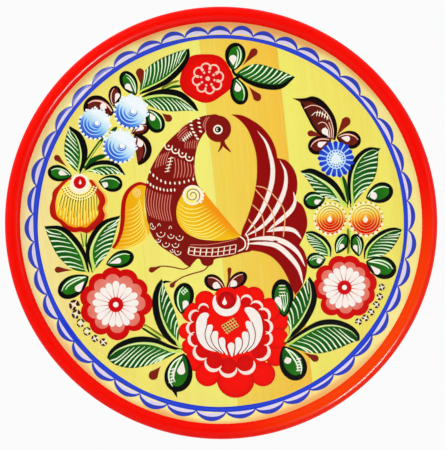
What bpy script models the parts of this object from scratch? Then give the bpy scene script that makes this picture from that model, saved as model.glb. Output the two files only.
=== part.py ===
"""Painted wall plate, turned from a blank of six glued boards, with a D-ring hanger behind.

Frame: metres, +Z up as the plate hangs, painted face towards -Y.
The origin is the centre of the flat foot, which rests on the wall plane y = 0.
Heights in the turned section are measured from the wall plane towards the viewer.
"""
import math

import bmesh
import bpy
from mathutils import Matrix

MM = 0.001
GAP = 0.3 * MM                      # left between pieces that touch on the real object

# Turned section of the plate
PLATE_RADIUS = 150 * MM
FIELD_RADIUS = 126.5 * MM           # flat painted bottom of the dish
FIELD_HEIGHT = 12 * MM
RIM_INNER_RADIUS = 139.6 * MM       # where the cove meets the rounded rim
COVE_ANGLE = math.radians(60)       # slope of the cove where it meets the rim
RIM_ROUND = 5.6 * MM                # radius of the rounded rim
RIM_END_ANGLE = math.radians(-68)   # where the rounded rim runs into the back slope
RECESS_OUTER_RADIUS = 129 * MM      # flat ring behind, where the hanger sits
RECESS_INNER_RADIUS = 95.5 * MM
RECESS_HEIGHT = 5.5 * MM
FOOT_RADIUS = 92.2 * MM
FOOT_EASE = 0.8 * MM                # eased edge of the foot
TURNING_STEPS = 96
COVE_POINTS = 5
RIM_POINTS = 10

# Boards of the blank: seams lie square to a line tilted by GRAIN_TILT from +X
GRAIN_TILT = math.radians(6)
SEAM_OFFSETS = (-110 * MM, -56 * MM, -2 * MM, 51.5 * MM, 105 * MM)

# Hanger: strap, D-shaped ring and two screws, on the vertical centre line
STRAP_WIDTH = 9 * MM
STRAP_THICKNESS = 0.8 * MM
STRAP_BOTTOM = 98.6 * MM
STRAP_HOLE_RADIUS = 1.35 * MM
WIRE_RADIUS = 0.9 * MM
EYE_CLEARANCE = 0.25 * MM
EYE_CLOSING_ANGLE = math.radians(290)
RING_HALF_WIDTH = 6.2 * MM
RING_LEG = 6.1 * MM
RING_CORNER = 1.5 * MM
PIVOT_HEIGHT = 125 * MM
SCREW_HEIGHTS = {"upper": 108.6 * MM, "lower": 102.2 * MM}
SCREW_HEAD_RADIUS = 2.1 * MM
SCREW_HEAD_RISE = 1.2 * MM
SCREW_SHANK_RADIUS = 1.0 * MM
SCREW_LENGTH = 5.8 * MM
SCREW_TIP = 0.7 * MM
SLOT_WIDTH = 0.6 * MM
SLOT_DEPTH = 0.5 * MM
PILOT_RADIUS = SCREW_SHANK_RADIUS + GAP
SCREW_STEPS = 24

# Heights from the wall plane that follow from the numbers above
STRAP_BACK = RECESS_HEIGHT - GAP
STRAP_FACE = STRAP_BACK - STRAP_THICKNESS
EYE_INNER_RADIUS = WIRE_RADIUS + EYE_CLEARANCE
EYE_OUTER_RADIUS = EYE_INNER_RADIUS + STRAP_THICKNESS
PIVOT_DEPTH = STRAP_BACK - EYE_OUTER_RADIUS
SCREW_SEAT = STRAP_FACE - GAP
PILOT_END = SCREW_SEAT + SCREW_LENGTH + GAP

TURNED_TO_WALL = (math.pi / 2, 0, 0)    # own +Z towards the viewer, own +Y up


def clear_scene():
    for obj in list(bpy.data.objects):
        bpy.data.objects.remove(obj, do_unlink=True)


def new_collection(name):
    collection = bpy.data.collections.new(name)
    bpy.context.scene.collection.children.link(collection)
    return collection


def add_object(name, data, collection, parent=None):
    obj = bpy.data.objects.new(name, data)
    collection.objects.link(obj)
    obj.parent = parent
    return obj


def principled(name, color, roughness, metallic=0.0):
    material = bpy.data.materials.new(name)
    material.use_nodes = True
    shader = material.node_tree.nodes["Principled BSDF"]
    shader.inputs["Base Color"].default_value = (*color, 1.0)
    shader.inputs["Roughness"].default_value = roughness
    shader.inputs["Metallic"].default_value = metallic
    return material


def smooth(obj, angle_deg=30):
    obj.data.shade_smooth()
    obj.data.set_sharp_from_angle(angle=math.radians(angle_deg))


def arc(center, radius, start, end, count):
    """Points on an arc, both ends included, as (across, along) pairs."""
    points = []
    for i in range(count):
        angle = start + (end - start) * i / (count - 1)
        across = center[0] + radius * math.cos(angle)
        along = center[1] + radius * math.sin(angle)
        points.append((across, along))
    return points


def mark_cutter(obj):
    obj.hide_render = True
    obj.display_type = "WIRE"


def boolean(obj, cutter, operation):
    modifier = obj.modifiers.new(operation.lower(), "BOOLEAN")
    modifier.operation = operation
    modifier.solver = "EXACT"
    modifier.object = cutter


# ---------------------------------------------------------------- plate boards

def plate_section():
    """Section from the middle of the painted face, over the rim, to the middle of the foot."""
    cove_radius = (RIM_INNER_RADIUS - FIELD_RADIUS) / math.sin(COVE_ANGLE)
    cove_center = (FIELD_RADIUS, FIELD_HEIGHT + cove_radius)
    cove = arc(cove_center, cove_radius, -math.pi / 2, COVE_ANGLE - math.pi / 2, COVE_POINTS)
    rim_start = math.pi / 2 + COVE_ANGLE
    rim_center_radius = PLATE_RADIUS - RIM_ROUND
    rim_center_height = cove[-1][1] - RIM_ROUND * math.sin(rim_start)
    rim_center = (rim_center_radius, rim_center_height)
    rim = arc(rim_center, RIM_ROUND, rim_start, RIM_END_ANGLE, RIM_POINTS)
    section = [(0.0, FIELD_HEIGHT)]
    section += cove[:-1]
    section += rim
    section += [
        (RECESS_OUTER_RADIUS, RECESS_HEIGHT),
        (RECESS_INNER_RADIUS, RECESS_HEIGHT),
        (FOOT_RADIUS + FOOT_EASE, FOOT_EASE),
        (FOOT_RADIUS, 0.0),
        (0.0, 0.0),
    ]
    return section


def section_mesh(name, section):
    """A section as an open chain of edges in the X-Z plane, ready for a Screw modifier."""
    mesh = bpy.data.meshes.new(name)
    verts = [(radius, 0.0, height) for radius, height in section]
    edges = [(i, i + 1) for i in range(len(section) - 1)]
    mesh.from_pydata(verts, edges, [])
    return mesh


def turn(obj, steps):
    screw = obj.modifiers.new("turn", "SCREW")
    screw.axis = "Z"
    screw.steps = steps
    screw.render_steps = steps
    screw.use_merge_vertices = True
    screw.merge_threshold = 0.00001
    screw.use_smooth_shade = True


def board_limits():
    """Offsets between which each board lies, from left to right."""
    reach = PLATE_RADIUS + 10 * MM
    edges = [-reach, *SEAM_OFFSETS, reach]
    return list(zip(edges[:-1], edges[1:]))


def slab_cutter(name, low, high, collection, parent):
    """Block that keeps one board of the turned blank, short of each seam by half the gap."""
    mesh = bpy.data.meshes.new(name)
    bm = bmesh.new()
    bmesh.ops.create_cube(bm, size=1.0)
    length = 2.4 * PLATE_RADIUS
    height = 60 * MM
    bmesh.ops.scale(bm, vec=(high - low - GAP, length, height), verts=bm.verts)
    bm.to_mesh(mesh)
    bm.free()
    cutter = add_object(name, mesh, collection, parent)
    middle = (low + high) / 2
    cutter.location = (middle * math.cos(GRAIN_TILT), middle * math.sin(GRAIN_TILT), 0)
    cutter.rotation_euler = (0, 0, GRAIN_TILT)
    mark_cutter(cutter)
    return cutter


def pilot_cutter(name, height, collection, parent):
    """Drill that makes the pilot hole of one hanger screw, from behind."""
    mesh = bpy.data.meshes.new(name)
    bm = bmesh.new()
    depth = PILOT_END + 2 * MM
    bmesh.ops.create_cone(bm, cap_ends=True, segments=SCREW_STEPS, radius1=PILOT_RADIUS,
                          radius2=PILOT_RADIUS, depth=depth)
    bm.to_mesh(mesh)
    bm.free()
    cutter = add_object(name, mesh, collection, parent)
    cutter.location = (0, height, PILOT_END - depth / 2)
    mark_cutter(cutter)
    return cutter


def make_boards(parts, cutters, axis):
    section = section_mesh("plate_section", plate_section())
    tones = {
        1: (0.86, 0.72, 0.23),
        2: (0.85, 0.74, 0.17),
        3: (0.86, 0.79, 0.18),
        4: (0.87, 0.56, 0.05),
        5: (0.86, 0.80, 0.14),
        6: (0.85, 0.79, 0.13),
    }
    pilots = [pilot_cutter("pilot_" + where, height, cutters, axis)
              for where, height in SCREW_HEIGHTS.items()]
    for number, (low, high) in enumerate(board_limits(), start=1):
        name = "board_%d" % number
        board = add_object(name, section.copy(), parts, axis)
        board.data.materials.append(principled(name + "_wood", tones[number], 0.3))
        turn(board, TURNING_STEPS)
        boolean(board, slab_cutter(name + "_slab", low, high, cutters, axis), "INTERSECT")
        if low < 0 < high:
            for pilot in pilots:
                boolean(board, pilot, "DIFFERENCE")


# ---------------------------------------------------------------- hanger

def flat_outline(name, outline, thickness, collection):
    """Filled outline with a thickness, as a curve object."""
    curve = bpy.data.curves.new(name, "CURVE")
    curve.dimensions = "2D"
    curve.fill_mode = "BOTH"
    curve.extrude = thickness / 2
    spline = curve.splines.new("POLY")
    spline.points.add(len(outline) - 1)
    for point, (across, along) in zip(spline.points, outline):
        point.co = (across, along, 0, 1)
    spline.use_cyclic_u = True
    return add_object(name, curve, collection)


def curve_to_mesh(curve_object, name, collection):
    """Replace a curve object by a mesh object of the same shape and place, caps welded."""
    bpy.context.view_layer.update()
    depsgraph = bpy.context.evaluated_depsgraph_get()
    mesh = bpy.data.meshes.new_from_object(curve_object.evaluated_get(depsgraph))
    bm = bmesh.new()
    bm.from_mesh(mesh)
    bmesh.ops.remove_doubles(bm, verts=bm.verts, dist=0.00001)
    bmesh.ops.recalc_face_normals(bm, faces=bm.faces)
    bm.to_mesh(mesh)
    bm.free()
    obj = add_object(name, mesh, collection)
    obj.matrix_world = curve_object.matrix_world.copy()
    bpy.data.objects.remove(curve_object, do_unlink=True)
    return obj


def strap_outline():
    """Strap seen from its side: flat leaf, rolled at the top into the eye for the ring."""
    eye = (PIVOT_DEPTH, PIVOT_HEIGHT)
    outline = [(STRAP_BACK, STRAP_BOTTOM)]
    outline += arc(eye, EYE_OUTER_RADIUS, 0, EYE_CLOSING_ANGLE, 20)
    outline += arc(eye, EYE_INNER_RADIUS, EYE_CLOSING_ANGLE, 0, 16)
    outline += [(STRAP_FACE, STRAP_BOTTOM)]
    return outline


def strap_shape_outline():
    """Strap seen from behind: straight sides and a round lower end."""
    half = STRAP_WIDTH / 2
    top = PIVOT_HEIGHT + 2 * EYE_OUTER_RADIUS
    outline = [(half, top), (-half, top)]
    outline += arc((0, STRAP_BOTTOM + half), half, math.pi, 2 * math.pi, 17)
    return outline


def make_strap(parts, cutters):
    leaf = flat_outline("strap_side", strap_outline(), 2 * STRAP_WIDTH, parts)
    # Own +X points towards the viewer and own +Y up.
    leaf.matrix_world = Matrix(((0, 0, -1, 0), (-1, 0, 0, 0), (0, 1, 0, 0), (0, 0, 0, 1)))
    strap = curve_to_mesh(leaf, "hanger_strap", parts)
    shape = flat_outline("strap_shape", strap_shape_outline(), 40 * MM, cutters)
    shape.rotation_euler = TURNED_TO_WALL
    shape_cutter = curve_to_mesh(shape, "strap_shape_cutter", cutters)
    mark_cutter(shape_cutter)
    boolean(strap, shape_cutter, "INTERSECT")
    for where, height in SCREW_HEIGHTS.items():
        boolean(strap, strap_hole_cutter("strap_hole_" + where, height, cutters), "DIFFERENCE")
    strap.data.materials.append(principled("hanger_steel", (0.62, 0.60, 0.56), 0.35, 1.0))
    return strap


def strap_hole_cutter(name, height, collection):
    mesh = bpy.data.meshes.new(name)
    bm = bmesh.new()
    bmesh.ops.create_cone(bm, cap_ends=True, segments=SCREW_STEPS, radius1=STRAP_HOLE_RADIUS,
                          radius2=STRAP_HOLE_RADIUS, depth=6 * STRAP_THICKNESS)
    bm.to_mesh(mesh)
    bm.free()
    cutter = add_object(name, mesh, collection)
    cutter.location = (0, -(STRAP_FACE + STRAP_BACK) / 2, height)
    cutter.rotation_euler = TURNED_TO_WALL
    mark_cutter(cutter)
    return cutter


def ring_path():
    """Closed D of the ring about its pivot: straight bar in the eye, legs and a half round."""
    corner_x = RING_HALF_WIDTH - RING_CORNER
    path = arc((corner_x, -RING_CORNER), RING_CORNER, math.pi / 2, 0, 5)
    path += arc((0, -RING_LEG), RING_HALF_WIDTH, 0, -math.pi, 17)
    path += arc((-corner_x, -RING_CORNER), RING_CORNER, math.pi, math.pi / 2, 5)
    return path


def make_ring(parts):
    curve = bpy.data.curves.new("hanger_ring", "CURVE")
    curve.dimensions = "3D"
    curve.bevel_depth = WIRE_RADIUS
    curve.bevel_resolution = 2
    curve.use_fill_caps = True
    path = ring_path()
    spline = curve.splines.new("POLY")
    spline.points.add(len(path) - 1)
    for point, (across, along) in zip(spline.points, path):
        point.co = (across, along, 0, 1)
    spline.use_cyclic_u = True
    ring = add_object("hanger_ring", curve, parts)
    ring.location = (0, -PIVOT_DEPTH, PIVOT_HEIGHT)
    ring.rotation_euler = TURNED_TO_WALL
    curve.materials.append(principled("ring_wire", (0.66, 0.64, 0.60), 0.3, 1.0))
    return ring


def screw_section():
    """Half section of a screw from the middle of its domed head to its point."""
    dome_radius = (SCREW_HEAD_RADIUS ** 2 + SCREW_HEAD_RISE ** 2) / (2 * SCREW_HEAD_RISE)
    half_angle = math.asin(SCREW_HEAD_RADIUS / dome_radius)
    center = (0.0, SCREW_HEAD_RISE - dome_radius)
    dome = arc(center, dome_radius, math.pi / 2, math.pi / 2 - half_angle, 6)
    dome[0] = (0.0, SCREW_HEAD_RISE)
    section = dome + [
        (SCREW_SHANK_RADIUS, 0.0),
        (SCREW_SHANK_RADIUS, -(SCREW_LENGTH - SCREW_TIP)),
        (0.0, -SCREW_LENGTH),
    ]
    return section


def slot_cutter(name, screw, turned, collection):
    mesh = bpy.data.meshes.new(name)
    bm = bmesh.new()
    bmesh.ops.create_cube(bm, size=1.0)
    length = 1.3 * SCREW_HEAD_RADIUS
    bmesh.ops.scale(bm, vec=(length, SLOT_WIDTH, 2 * SLOT_DEPTH), verts=bm.verts)
    bm.to_mesh(mesh)
    bm.free()
    cutter = add_object(name, mesh, collection, screw)
    cutter.location = (0, 0, SCREW_HEAD_RISE)
    cutter.rotation_euler = (0, 0, turned)
    mark_cutter(cutter)
    return cutter


def make_screws(parts, cutters):
    mesh = section_mesh("screw_section", screw_section())
    mesh.materials.append(principled("screw_zinc", (0.70, 0.66, 0.55), 0.3, 1.0))
    for where, height in SCREW_HEIGHTS.items():
        name = "hanger_screw_" + where
        screw = add_object(name, mesh, parts)
        # Own +Z, the head, points at the wall.
        screw.rotation_euler = (-math.pi / 2, 0, 0)
        screw.location = (0, -SCREW_SEAT, height)
        turn(screw, SCREW_STEPS)
        for index, turned in enumerate((math.pi / 4, -math.pi / 4)):
            cutter = slot_cutter("%s_slot_%d" % (name, index), screw, turned, cutters)
            boolean(screw, cutter, "DIFFERENCE")


def main():
    clear_scene()
    parts = new_collection("painted_wall_plate")
    cutters = new_collection("cutters")
    axis = bpy.data.objects.new("plate_axis", None)
    parts.objects.link(axis)
    axis.rotation_euler = TURNED_TO_WALL
    make_boards(parts, cutters, axis)
    smooth(make_strap(parts, cutters))
    make_ring(parts)
    make_screws(parts, cutters)


main()
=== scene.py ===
from math import ceil, cos, dist, hypot, pi, radians, sin, sqrt

import bmesh
import bpy
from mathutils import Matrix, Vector
from mathutils.geometry import interpolate_bezier


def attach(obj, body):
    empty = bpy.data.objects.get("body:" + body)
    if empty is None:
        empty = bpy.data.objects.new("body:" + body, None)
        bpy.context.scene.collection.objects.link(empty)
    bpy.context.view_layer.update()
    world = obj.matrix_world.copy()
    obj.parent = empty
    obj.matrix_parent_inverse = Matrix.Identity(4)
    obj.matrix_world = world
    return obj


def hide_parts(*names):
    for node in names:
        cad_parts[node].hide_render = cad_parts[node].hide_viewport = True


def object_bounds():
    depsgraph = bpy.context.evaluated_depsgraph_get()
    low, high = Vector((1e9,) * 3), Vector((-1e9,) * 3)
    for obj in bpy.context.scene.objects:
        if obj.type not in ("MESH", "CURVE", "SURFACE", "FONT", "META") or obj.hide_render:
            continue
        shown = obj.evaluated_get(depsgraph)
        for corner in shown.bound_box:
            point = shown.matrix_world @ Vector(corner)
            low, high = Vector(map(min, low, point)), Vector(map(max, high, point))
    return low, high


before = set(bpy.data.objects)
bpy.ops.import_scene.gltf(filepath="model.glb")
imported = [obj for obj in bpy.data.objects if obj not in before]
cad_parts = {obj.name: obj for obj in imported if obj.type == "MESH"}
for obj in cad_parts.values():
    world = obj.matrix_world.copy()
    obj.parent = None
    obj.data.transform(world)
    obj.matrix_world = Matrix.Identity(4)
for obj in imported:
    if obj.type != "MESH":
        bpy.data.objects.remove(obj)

cad_low, cad_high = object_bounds()

MM = 0.001

# Turned section of the plate, in mm; heights are measured from the wall plane
PLATE_RADIUS = (cad_high.z - cad_low.z) / 2 / MM
FIELD_RADIUS = 126.5
FIELD_HEIGHT = 12.0
RIM_INNER_RADIUS = 139.6
COVE_ANGLE = radians(60)
COVE_RADIUS = (RIM_INNER_RADIUS - FIELD_RADIUS) / sin(COVE_ANGLE)
RIM_ROUND = 5.6
RIM_END_ANGLE = radians(-68)
RECESS_OUTER_RADIUS = 129.0
RECESS_INNER_RADIUS = 95.5
RECESS_HEIGHT = 5.5
FOOT_RADIUS = 92.2
FOOT_EASE = 0.8
TURNING_STEPS = 240

# Boards of the blank
GRAIN_TILT = radians(6)
SEAMS = (-110.0, -56.0, -2.0, 51.5, 105.0)
SEAM_WIDTH = 0.06
BOARD_WIDTH = 54.0

# Paint layers
LAYER = 0.022
SINK = 0.05


# -------- colours and nodes

def linear(value):
    value /= 255
    return value / 12.92 if value <= 0.04045 else ((value + 0.055) / 1.055) ** 2.4


def rgb(r, g, b):
    """Linear colour of an 8-bit display colour."""
    return (linear(r), linear(g), linear(b), 1.0)


class Nodes:
    """Small helper that adds and links the nodes of one material."""

    def __init__(self, name, roughness, specular, coat=0.0, metallic=0.0):
        self.material = bpy.data.materials.new(name)
        self.material.use_nodes = True
        self.tree = self.material.node_tree
        self.shader = self.tree.nodes["Principled BSDF"]
        self.shader.inputs["Roughness"].default_value = roughness
        self.shader.inputs["Metallic"].default_value = metallic
        self.shader.inputs["Specular IOR Level"].default_value = specular
        self.shader.inputs["Coat Weight"].default_value = coat
        self.shader.inputs["Coat Roughness"].default_value = 0.12

    def add(self, kind, **settings):
        node = self.tree.nodes.new("ShaderNode" + kind)
        for key, value in settings.items():
            setattr(node, key, value)
        return node

    def link(self, source, target):
        self.tree.links.new(source, target)

    def feed(self, socket, value):
        if isinstance(value, bpy.types.NodeSocket):
            self.link(value, socket)
        else:
            socket.default_value = value

    def math(self, operation, a, b=0.0, c=0.0):
        node = self.add("Math", operation=operation)
        for socket, value in zip(node.inputs, (a, b, c)):
            self.feed(socket, value)
        return node.outputs[0]

    def times(self, a, b):
        return self.math("MULTIPLY", a, b)

    def plus(self, a, b):
        return self.math("ADD", a, b)

    def radius(self, x, z):
        """Distance from the plate's axis."""
        return self.math("SQRT", self.plus(self.times(x, x), self.times(z, z)))

    def grain(self, x, z):
        """Distances across and along the grain."""
        level, rise = cos(GRAIN_TILT), sin(GRAIN_TILT)
        across = self.plus(self.times(x, level), self.times(z, rise))
        along = self.math("SUBTRACT", self.times(z, level), self.times(x, rise))
        return across, along

    def position(self):
        """Object coordinates in mm, as separate x, y, z sockets."""
        coordinates = self.add("TexCoord")
        scaled = self.add("VectorMath", operation="SCALE")
        self.link(coordinates.outputs["Object"], scaled.inputs[0])
        scaled.inputs["Scale"].default_value = 1 / MM
        split = self.add("SeparateXYZ")
        self.link(scaled.outputs[0], split.inputs[0])
        return split.outputs

    def combine(self, x, y, z):
        node = self.add("CombineXYZ")
        for socket, value in zip(node.inputs, (x, y, z)):
            self.feed(socket, value)
        return node.outputs[0]

    def noise(self, vector, scale, detail=2.0):
        node = self.add("TexNoise")
        self.link(vector, node.inputs["Vector"])
        node.inputs["Scale"].default_value = scale
        node.inputs["Detail"].default_value = detail
        return node.outputs["Fac"]

    def span(self, value, low, high, to_low=0.0, to_high=1.0, smooth=False):
        node = self.add("MapRange", clamp=True)
        if smooth:
            node.interpolation_type = "SMOOTHSTEP"
        self.feed(node.inputs["Value"], value)
        node.inputs["From Min"].default_value = low
        node.inputs["From Max"].default_value = high
        node.inputs["To Min"].default_value = to_low
        node.inputs["To Max"].default_value = to_high
        return node.outputs["Result"]

    def mix(self, factor, a, b, blend="MIX"):
        node = self.add("Mix", data_type="RGBA", blend_type=blend)
        self.feed(node.inputs["Factor"], factor)
        self.feed(node.inputs[6], a)
        self.feed(node.inputs[7], b)
        return node.outputs[2]

    def bump(self, height, strength, distance):
        node = self.add("Bump")
        node.inputs["Strength"].default_value = strength
        node.inputs["Distance"].default_value = distance
        self.link(height, node.inputs["Height"])
        self.link(node.outputs["Normal"], self.shader.inputs["Normal"])

    def color(self, value):
        self.feed(self.shader.inputs["Base Color"], value)
        return self.material


def wood(name, left, right, low, high):
    """Lacquered board: long straight grain, faint rings, a tone that drifts across it, and a painted
    sheen in the cove.
    """
    nodes = Nodes(name, roughness=0.4, coat=0.04, specular=0.06)
    x, y, z = nodes.position()
    across, along = nodes.grain(x, z)
    wander = nodes.combine(nodes.times(across, 0.02), y, nodes.times(along, 0.012))
    bend = nodes.times(nodes.noise(wander, 1.0), 9.0)
    rings = nodes.combine(nodes.plus(across, bend), nodes.times(y, 0.3), nodes.times(along, 0.02))
    fibres = nodes.combine(nodes.times(across, 2.2), y, nodes.times(along, 0.06))
    ring_tone = nodes.noise(rings, 0.16)
    fibre_tone = nodes.noise(fibres, 0.6, 3.0)
    base = nodes.mix(nodes.span(across, low, high), left, right)
    base = nodes.mix(nodes.span(ring_tone, 0.35, 0.75, 0.0, 0.1), base, rgb(214, 150, 40))
    base = nodes.mix(nodes.span(fibre_tone, 0.45, 0.8, 0.0, 0.14), base, rgb(255, 246, 190))
    # The cove is painted paler towards the rim, a painted sheen of the lacquer on its slope. Beside
    # the rim it turns orange: partly the rim's red soaked in as a stain, partly a painted reflection
    # of the red rim in the cove, stronger towards the top and bottom.
    radius = nodes.radius(x, z)
    cove = nodes.span(radius, FIELD_RADIUS, RIM_INNER_RADIUS - 5, 0.0, 0.6, True)
    base = nodes.mix(cove, base, rgb(255, 238, 176))
    patchy = nodes.noise(nodes.combine(x, y, z), 0.018)
    height = nodes.math("ABSOLUTE", z)
    reach = nodes.math("MULTIPLY_ADD", nodes.span(patchy, 0.35, 0.65), 4.0, radius)
    reach = nodes.plus(reach, nodes.span(height, 80.0, 125.0, 0.0, 1.8))
    # Orange beside the rim: stain, and painted reflection of the red rim
    stain_and_red_reflection = nodes.span(reach, RIM_INNER_RADIUS - 2.0, RIM_INNER_RADIUS + 2.5, 0.0, 0.75, True)
    strength = nodes.span(height, 50.0, 120.0, 0.35, 1.0)
    base = nodes.mix(nodes.times(stain_and_red_reflection, strength), base, rgb(242, 156, 84))
    nodes.bump(fibre_tone, 0.08, 0.0002)
    return nodes.color(base)


def bare_wood(name):
    """Unpainted turned back: dry, paler, with the tool's fine rings."""
    nodes = Nodes(name, roughness=0.6, specular=0.3)
    x, y, z = nodes.position()
    across, along = nodes.grain(x, z)
    rings = nodes.combine(across, nodes.times(y, 0.3), nodes.times(along, 0.03))
    tone = nodes.noise(rings, 0.3, 3.0)
    board = nodes.noise(nodes.combine(nodes.math("SNAP", across, BOARD_WIDTH), 0.0, 0.0), 0.11)
    base = nodes.mix(tone, rgb(224, 178, 110), rgb(240, 208, 150))
    base = nodes.mix(nodes.span(board, 0.3, 0.7, 0.0, 0.4), base, rgb(214, 160, 92))
    radius = nodes.radius(x, z)
    tool = nodes.math("SINE", nodes.times(radius, 5.0))
    nodes.bump(nodes.plus(tool, tone), 0.1, 0.0002)
    return nodes.color(base)


def enamel(name):
    """Red enamel of the rim: glossy, a little uneven, with painted light at the lower right."""
    nodes = Nodes(name, roughness=0.3, coat=0.09, specular=0.02)
    x, y, z = nodes.position()
    blotch = nodes.noise(nodes.combine(x, y, z), 0.03, 3.0)
    # The lower right is painted a lighter orange as painted light on the rim's inner flank; it fades
    # out over the outer round.
    painted_light_lower_right = nodes.span(nodes.math("MULTIPLY_ADD", z, -0.8, x), 112.0, 186.0, 0.0, 1.0, True)
    radius = nodes.radius(x, z)
    painted_light_lower_right = nodes.times(painted_light_lower_right, nodes.span(radius, 144.6, 147.4, 1.0, 0.3))
    base = nodes.mix(blotch, rgb(240, 8, 1), rgb(246, 16, 2))
    base = nodes.mix(painted_light_lower_right, base, rgb(246, 64, 2))
    fine = nodes.noise(nodes.combine(x, y, z), 0.9, 3.0)
    nodes.bump(fine, 0.06, 0.0003)
    return nodes.color(base)


def steel(name, tint=(0.62, 0.60, 0.56)):
    """Zinc-plated steel, dulled in patches."""
    nodes = Nodes(name, roughness=0.34, metallic=1.0, specular=0.5)
    x, y, z = nodes.position()
    wear = nodes.noise(nodes.combine(x, y, z), 0.8, 4.0)
    base = nodes.mix(wear, (*tint, 1.0), (tint[0] * 0.8, tint[1] * 0.78, tint[2] * 0.74, 1.0))
    scratch = nodes.noise(nodes.combine(x, nodes.times(y, 0.3), nodes.times(z, 0.1)), 6.0)
    nodes.bump(scratch, 0.05, 0.0001)
    return nodes.color(base)


PALETTE = {
    # Display colours, from tone 0 to tone 1
    "white": ((246, 236, 228), (252, 250, 246)),
    "white_blue": ((226, 240, 250), (250, 252, 252)),
    "lilac": ((206, 196, 236), (244, 238, 244)),
    "ring_blue": ((30, 56, 204), (58, 90, 224)),
    "violet": ((50, 66, 190), (96, 110, 220)),
    "blue": ((26, 84, 208), (110, 170, 236)),
    "deep_blue": ((22, 46, 190), (60, 96, 220)),
    "navy": ((20, 40, 90), (40, 60, 120)),
    "sky": ((150, 200, 244), (220, 238, 250)),
    "maroon": ((132, 20, 15), (112, 15, 10)),
    "tail": ((150, 8, 8), (124, 12, 10)),
    "rose": ((216, 124, 106), (230, 150, 130)),
    "rose_gold": ((246, 196, 110), (238, 170, 124)),
    "red": ((246, 16, 4), (206, 10, 8)),
    "deep_red": ((216, 10, 16), (150, 8, 12)),
    "crimson": ((178, 14, 8), (226, 50, 22)),
    "salmon": ((228, 100, 88), (228, 142, 122)),
    "pink": ((252, 200, 178), (252, 216, 200)),
    "green": ((16, 72, 20), (40, 130, 20)),
    "vein": ((226, 248, 208), (240, 252, 230)),
    "lime": ((196, 222, 84), (228, 242, 178)),
    "olive": ((122, 128, 34), (168, 160, 60)),
    "black": ((10, 12, 10), (18, 26, 16)),
    "dark_brown": ((22, 8, 6), (84, 22, 10)),
    "brown": ((128, 32, 18), (108, 24, 14)),
    "brown_fill": ((84, 24, 16), (120, 34, 24)),
    "brown_line": ((110, 84, 16), (140, 110, 40)),
    "orange_glow": ((250, 164, 60), (252, 200, 90)),
    "amber": ((250, 222, 80), (244, 196, 30), (240, 168, 10), (246, 140, 20)),
    "pale_yellow": ((252, 236, 110), (255, 244, 170)),
    "sunset": ((206, 22, 8), (230, 98, 18), (246, 192, 52), (250, 238, 150)),
    "sky_ramp": ((24, 88, 206), (84, 166, 236), (192, 228, 244), (238, 246, 250)),
    "blush": ((250, 222, 206), (252, 236, 226)),
    "cream": ((252, 240, 216), (255, 248, 226)),
}


def fill_ramp(node, stops):
    """Give a color ramp its (place, color) stops."""
    elements = node.color_ramp.elements
    while len(elements) < len(stops):
        elements.new(0.5)
    for element, (place, color) in zip(elements, stops):
        element.position = place
        element.color = color


def gouache(name):
    """Brushed paint: streaks along the stroke, tone from the stroke's third number."""
    nodes = Nodes("paint_" + name, roughness=0.36, coat=0.03, specular=0.03)
    stroke = nodes.add("Attribute", attribute_type="GEOMETRY", attribute_name="stroke")
    split = nodes.add("SeparateXYZ")
    nodes.link(stroke.outputs["Vector"], split.inputs[0])
    along, across, tone = split.outputs
    bristles = nodes.combine(nodes.times(along, 0.12), across, 0.0)
    streak = nodes.noise(bristles, 1.6, 3.0)
    colors = PALETTE[name]
    ramp = nodes.add("ValToRGB")
    fill_ramp(ramp, [(i / (len(colors) - 1), rgb(*color)) for i, color in enumerate(colors)])
    nodes.link(tone, ramp.inputs["Fac"])
    shaded = nodes.mix(nodes.span(streak, 0.5, 0.8, 0.0, 0.16), ramp.outputs["Color"],
                       (0.5, 0.5, 0.5, 1.0), "MULTIPLY")
    nodes.bump(streak, 0.12, 0.0002)
    return nodes.color(shaded)


# -------- turned shapes

def arc(center, radius, start, end, count):
    """Points on an arc, both ends included."""
    points = []
    for i in range(count):
        angle = start + (end - start) * i / (count - 1)
        points.append((center[0] + radius * cos(angle),
                       center[1] + radius * sin(angle)))
    return points


# Where the cove runs into the rounded rim
RIM_START = pi / 2 + COVE_ANGLE
RIM_CENTER = (
    PLATE_RADIUS - RIM_ROUND,
    FIELD_HEIGHT + COVE_RADIUS * (1 - cos(COVE_ANGLE)) - RIM_ROUND * sin(RIM_START),
)


def plate_section():
    """Closed half section, from the face's centre round the rim to the back's centre."""
    cove_center = (FIELD_RADIUS, FIELD_HEIGHT + COVE_RADIUS)
    section = [(0.0, FIELD_HEIGHT), (FIELD_RADIUS / 2, FIELD_HEIGHT)]
    section += arc(cove_center, COVE_RADIUS, -pi / 2, COVE_ANGLE - pi / 2, 14)[:-1]
    section += arc(RIM_CENTER, RIM_ROUND, RIM_START, RIM_END_ANGLE, 28)
    section += [
        (RECESS_OUTER_RADIUS, RECESS_HEIGHT),
        (RECESS_INNER_RADIUS, RECESS_HEIGHT),
        (FOOT_RADIUS + FOOT_EASE, FOOT_EASE),
        (FOOT_RADIUS, 0.0),
        (0.0, 0.0),
    ]
    return section


def surface_height(radius):
    """Height of the face above the wall plane, in mm, out to the rim."""
    if radius <= FIELD_RADIUS:
        return FIELD_HEIGHT
    reach = min(radius, RIM_INNER_RADIUS) - FIELD_RADIUS
    return FIELD_HEIGHT + COVE_RADIUS - sqrt(COVE_RADIUS ** 2 - reach ** 2)


def turned_point(radius, height, angle):
    return Vector((radius * cos(angle), -height, radius * sin(angle))) * MM


def mesh_from(bm, name):
    bmesh.ops.recalc_face_normals(bm, faces=bm.faces)
    mesh = bpy.data.meshes.new(name)
    bm.to_mesh(mesh)
    bm.free()
    return mesh


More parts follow.
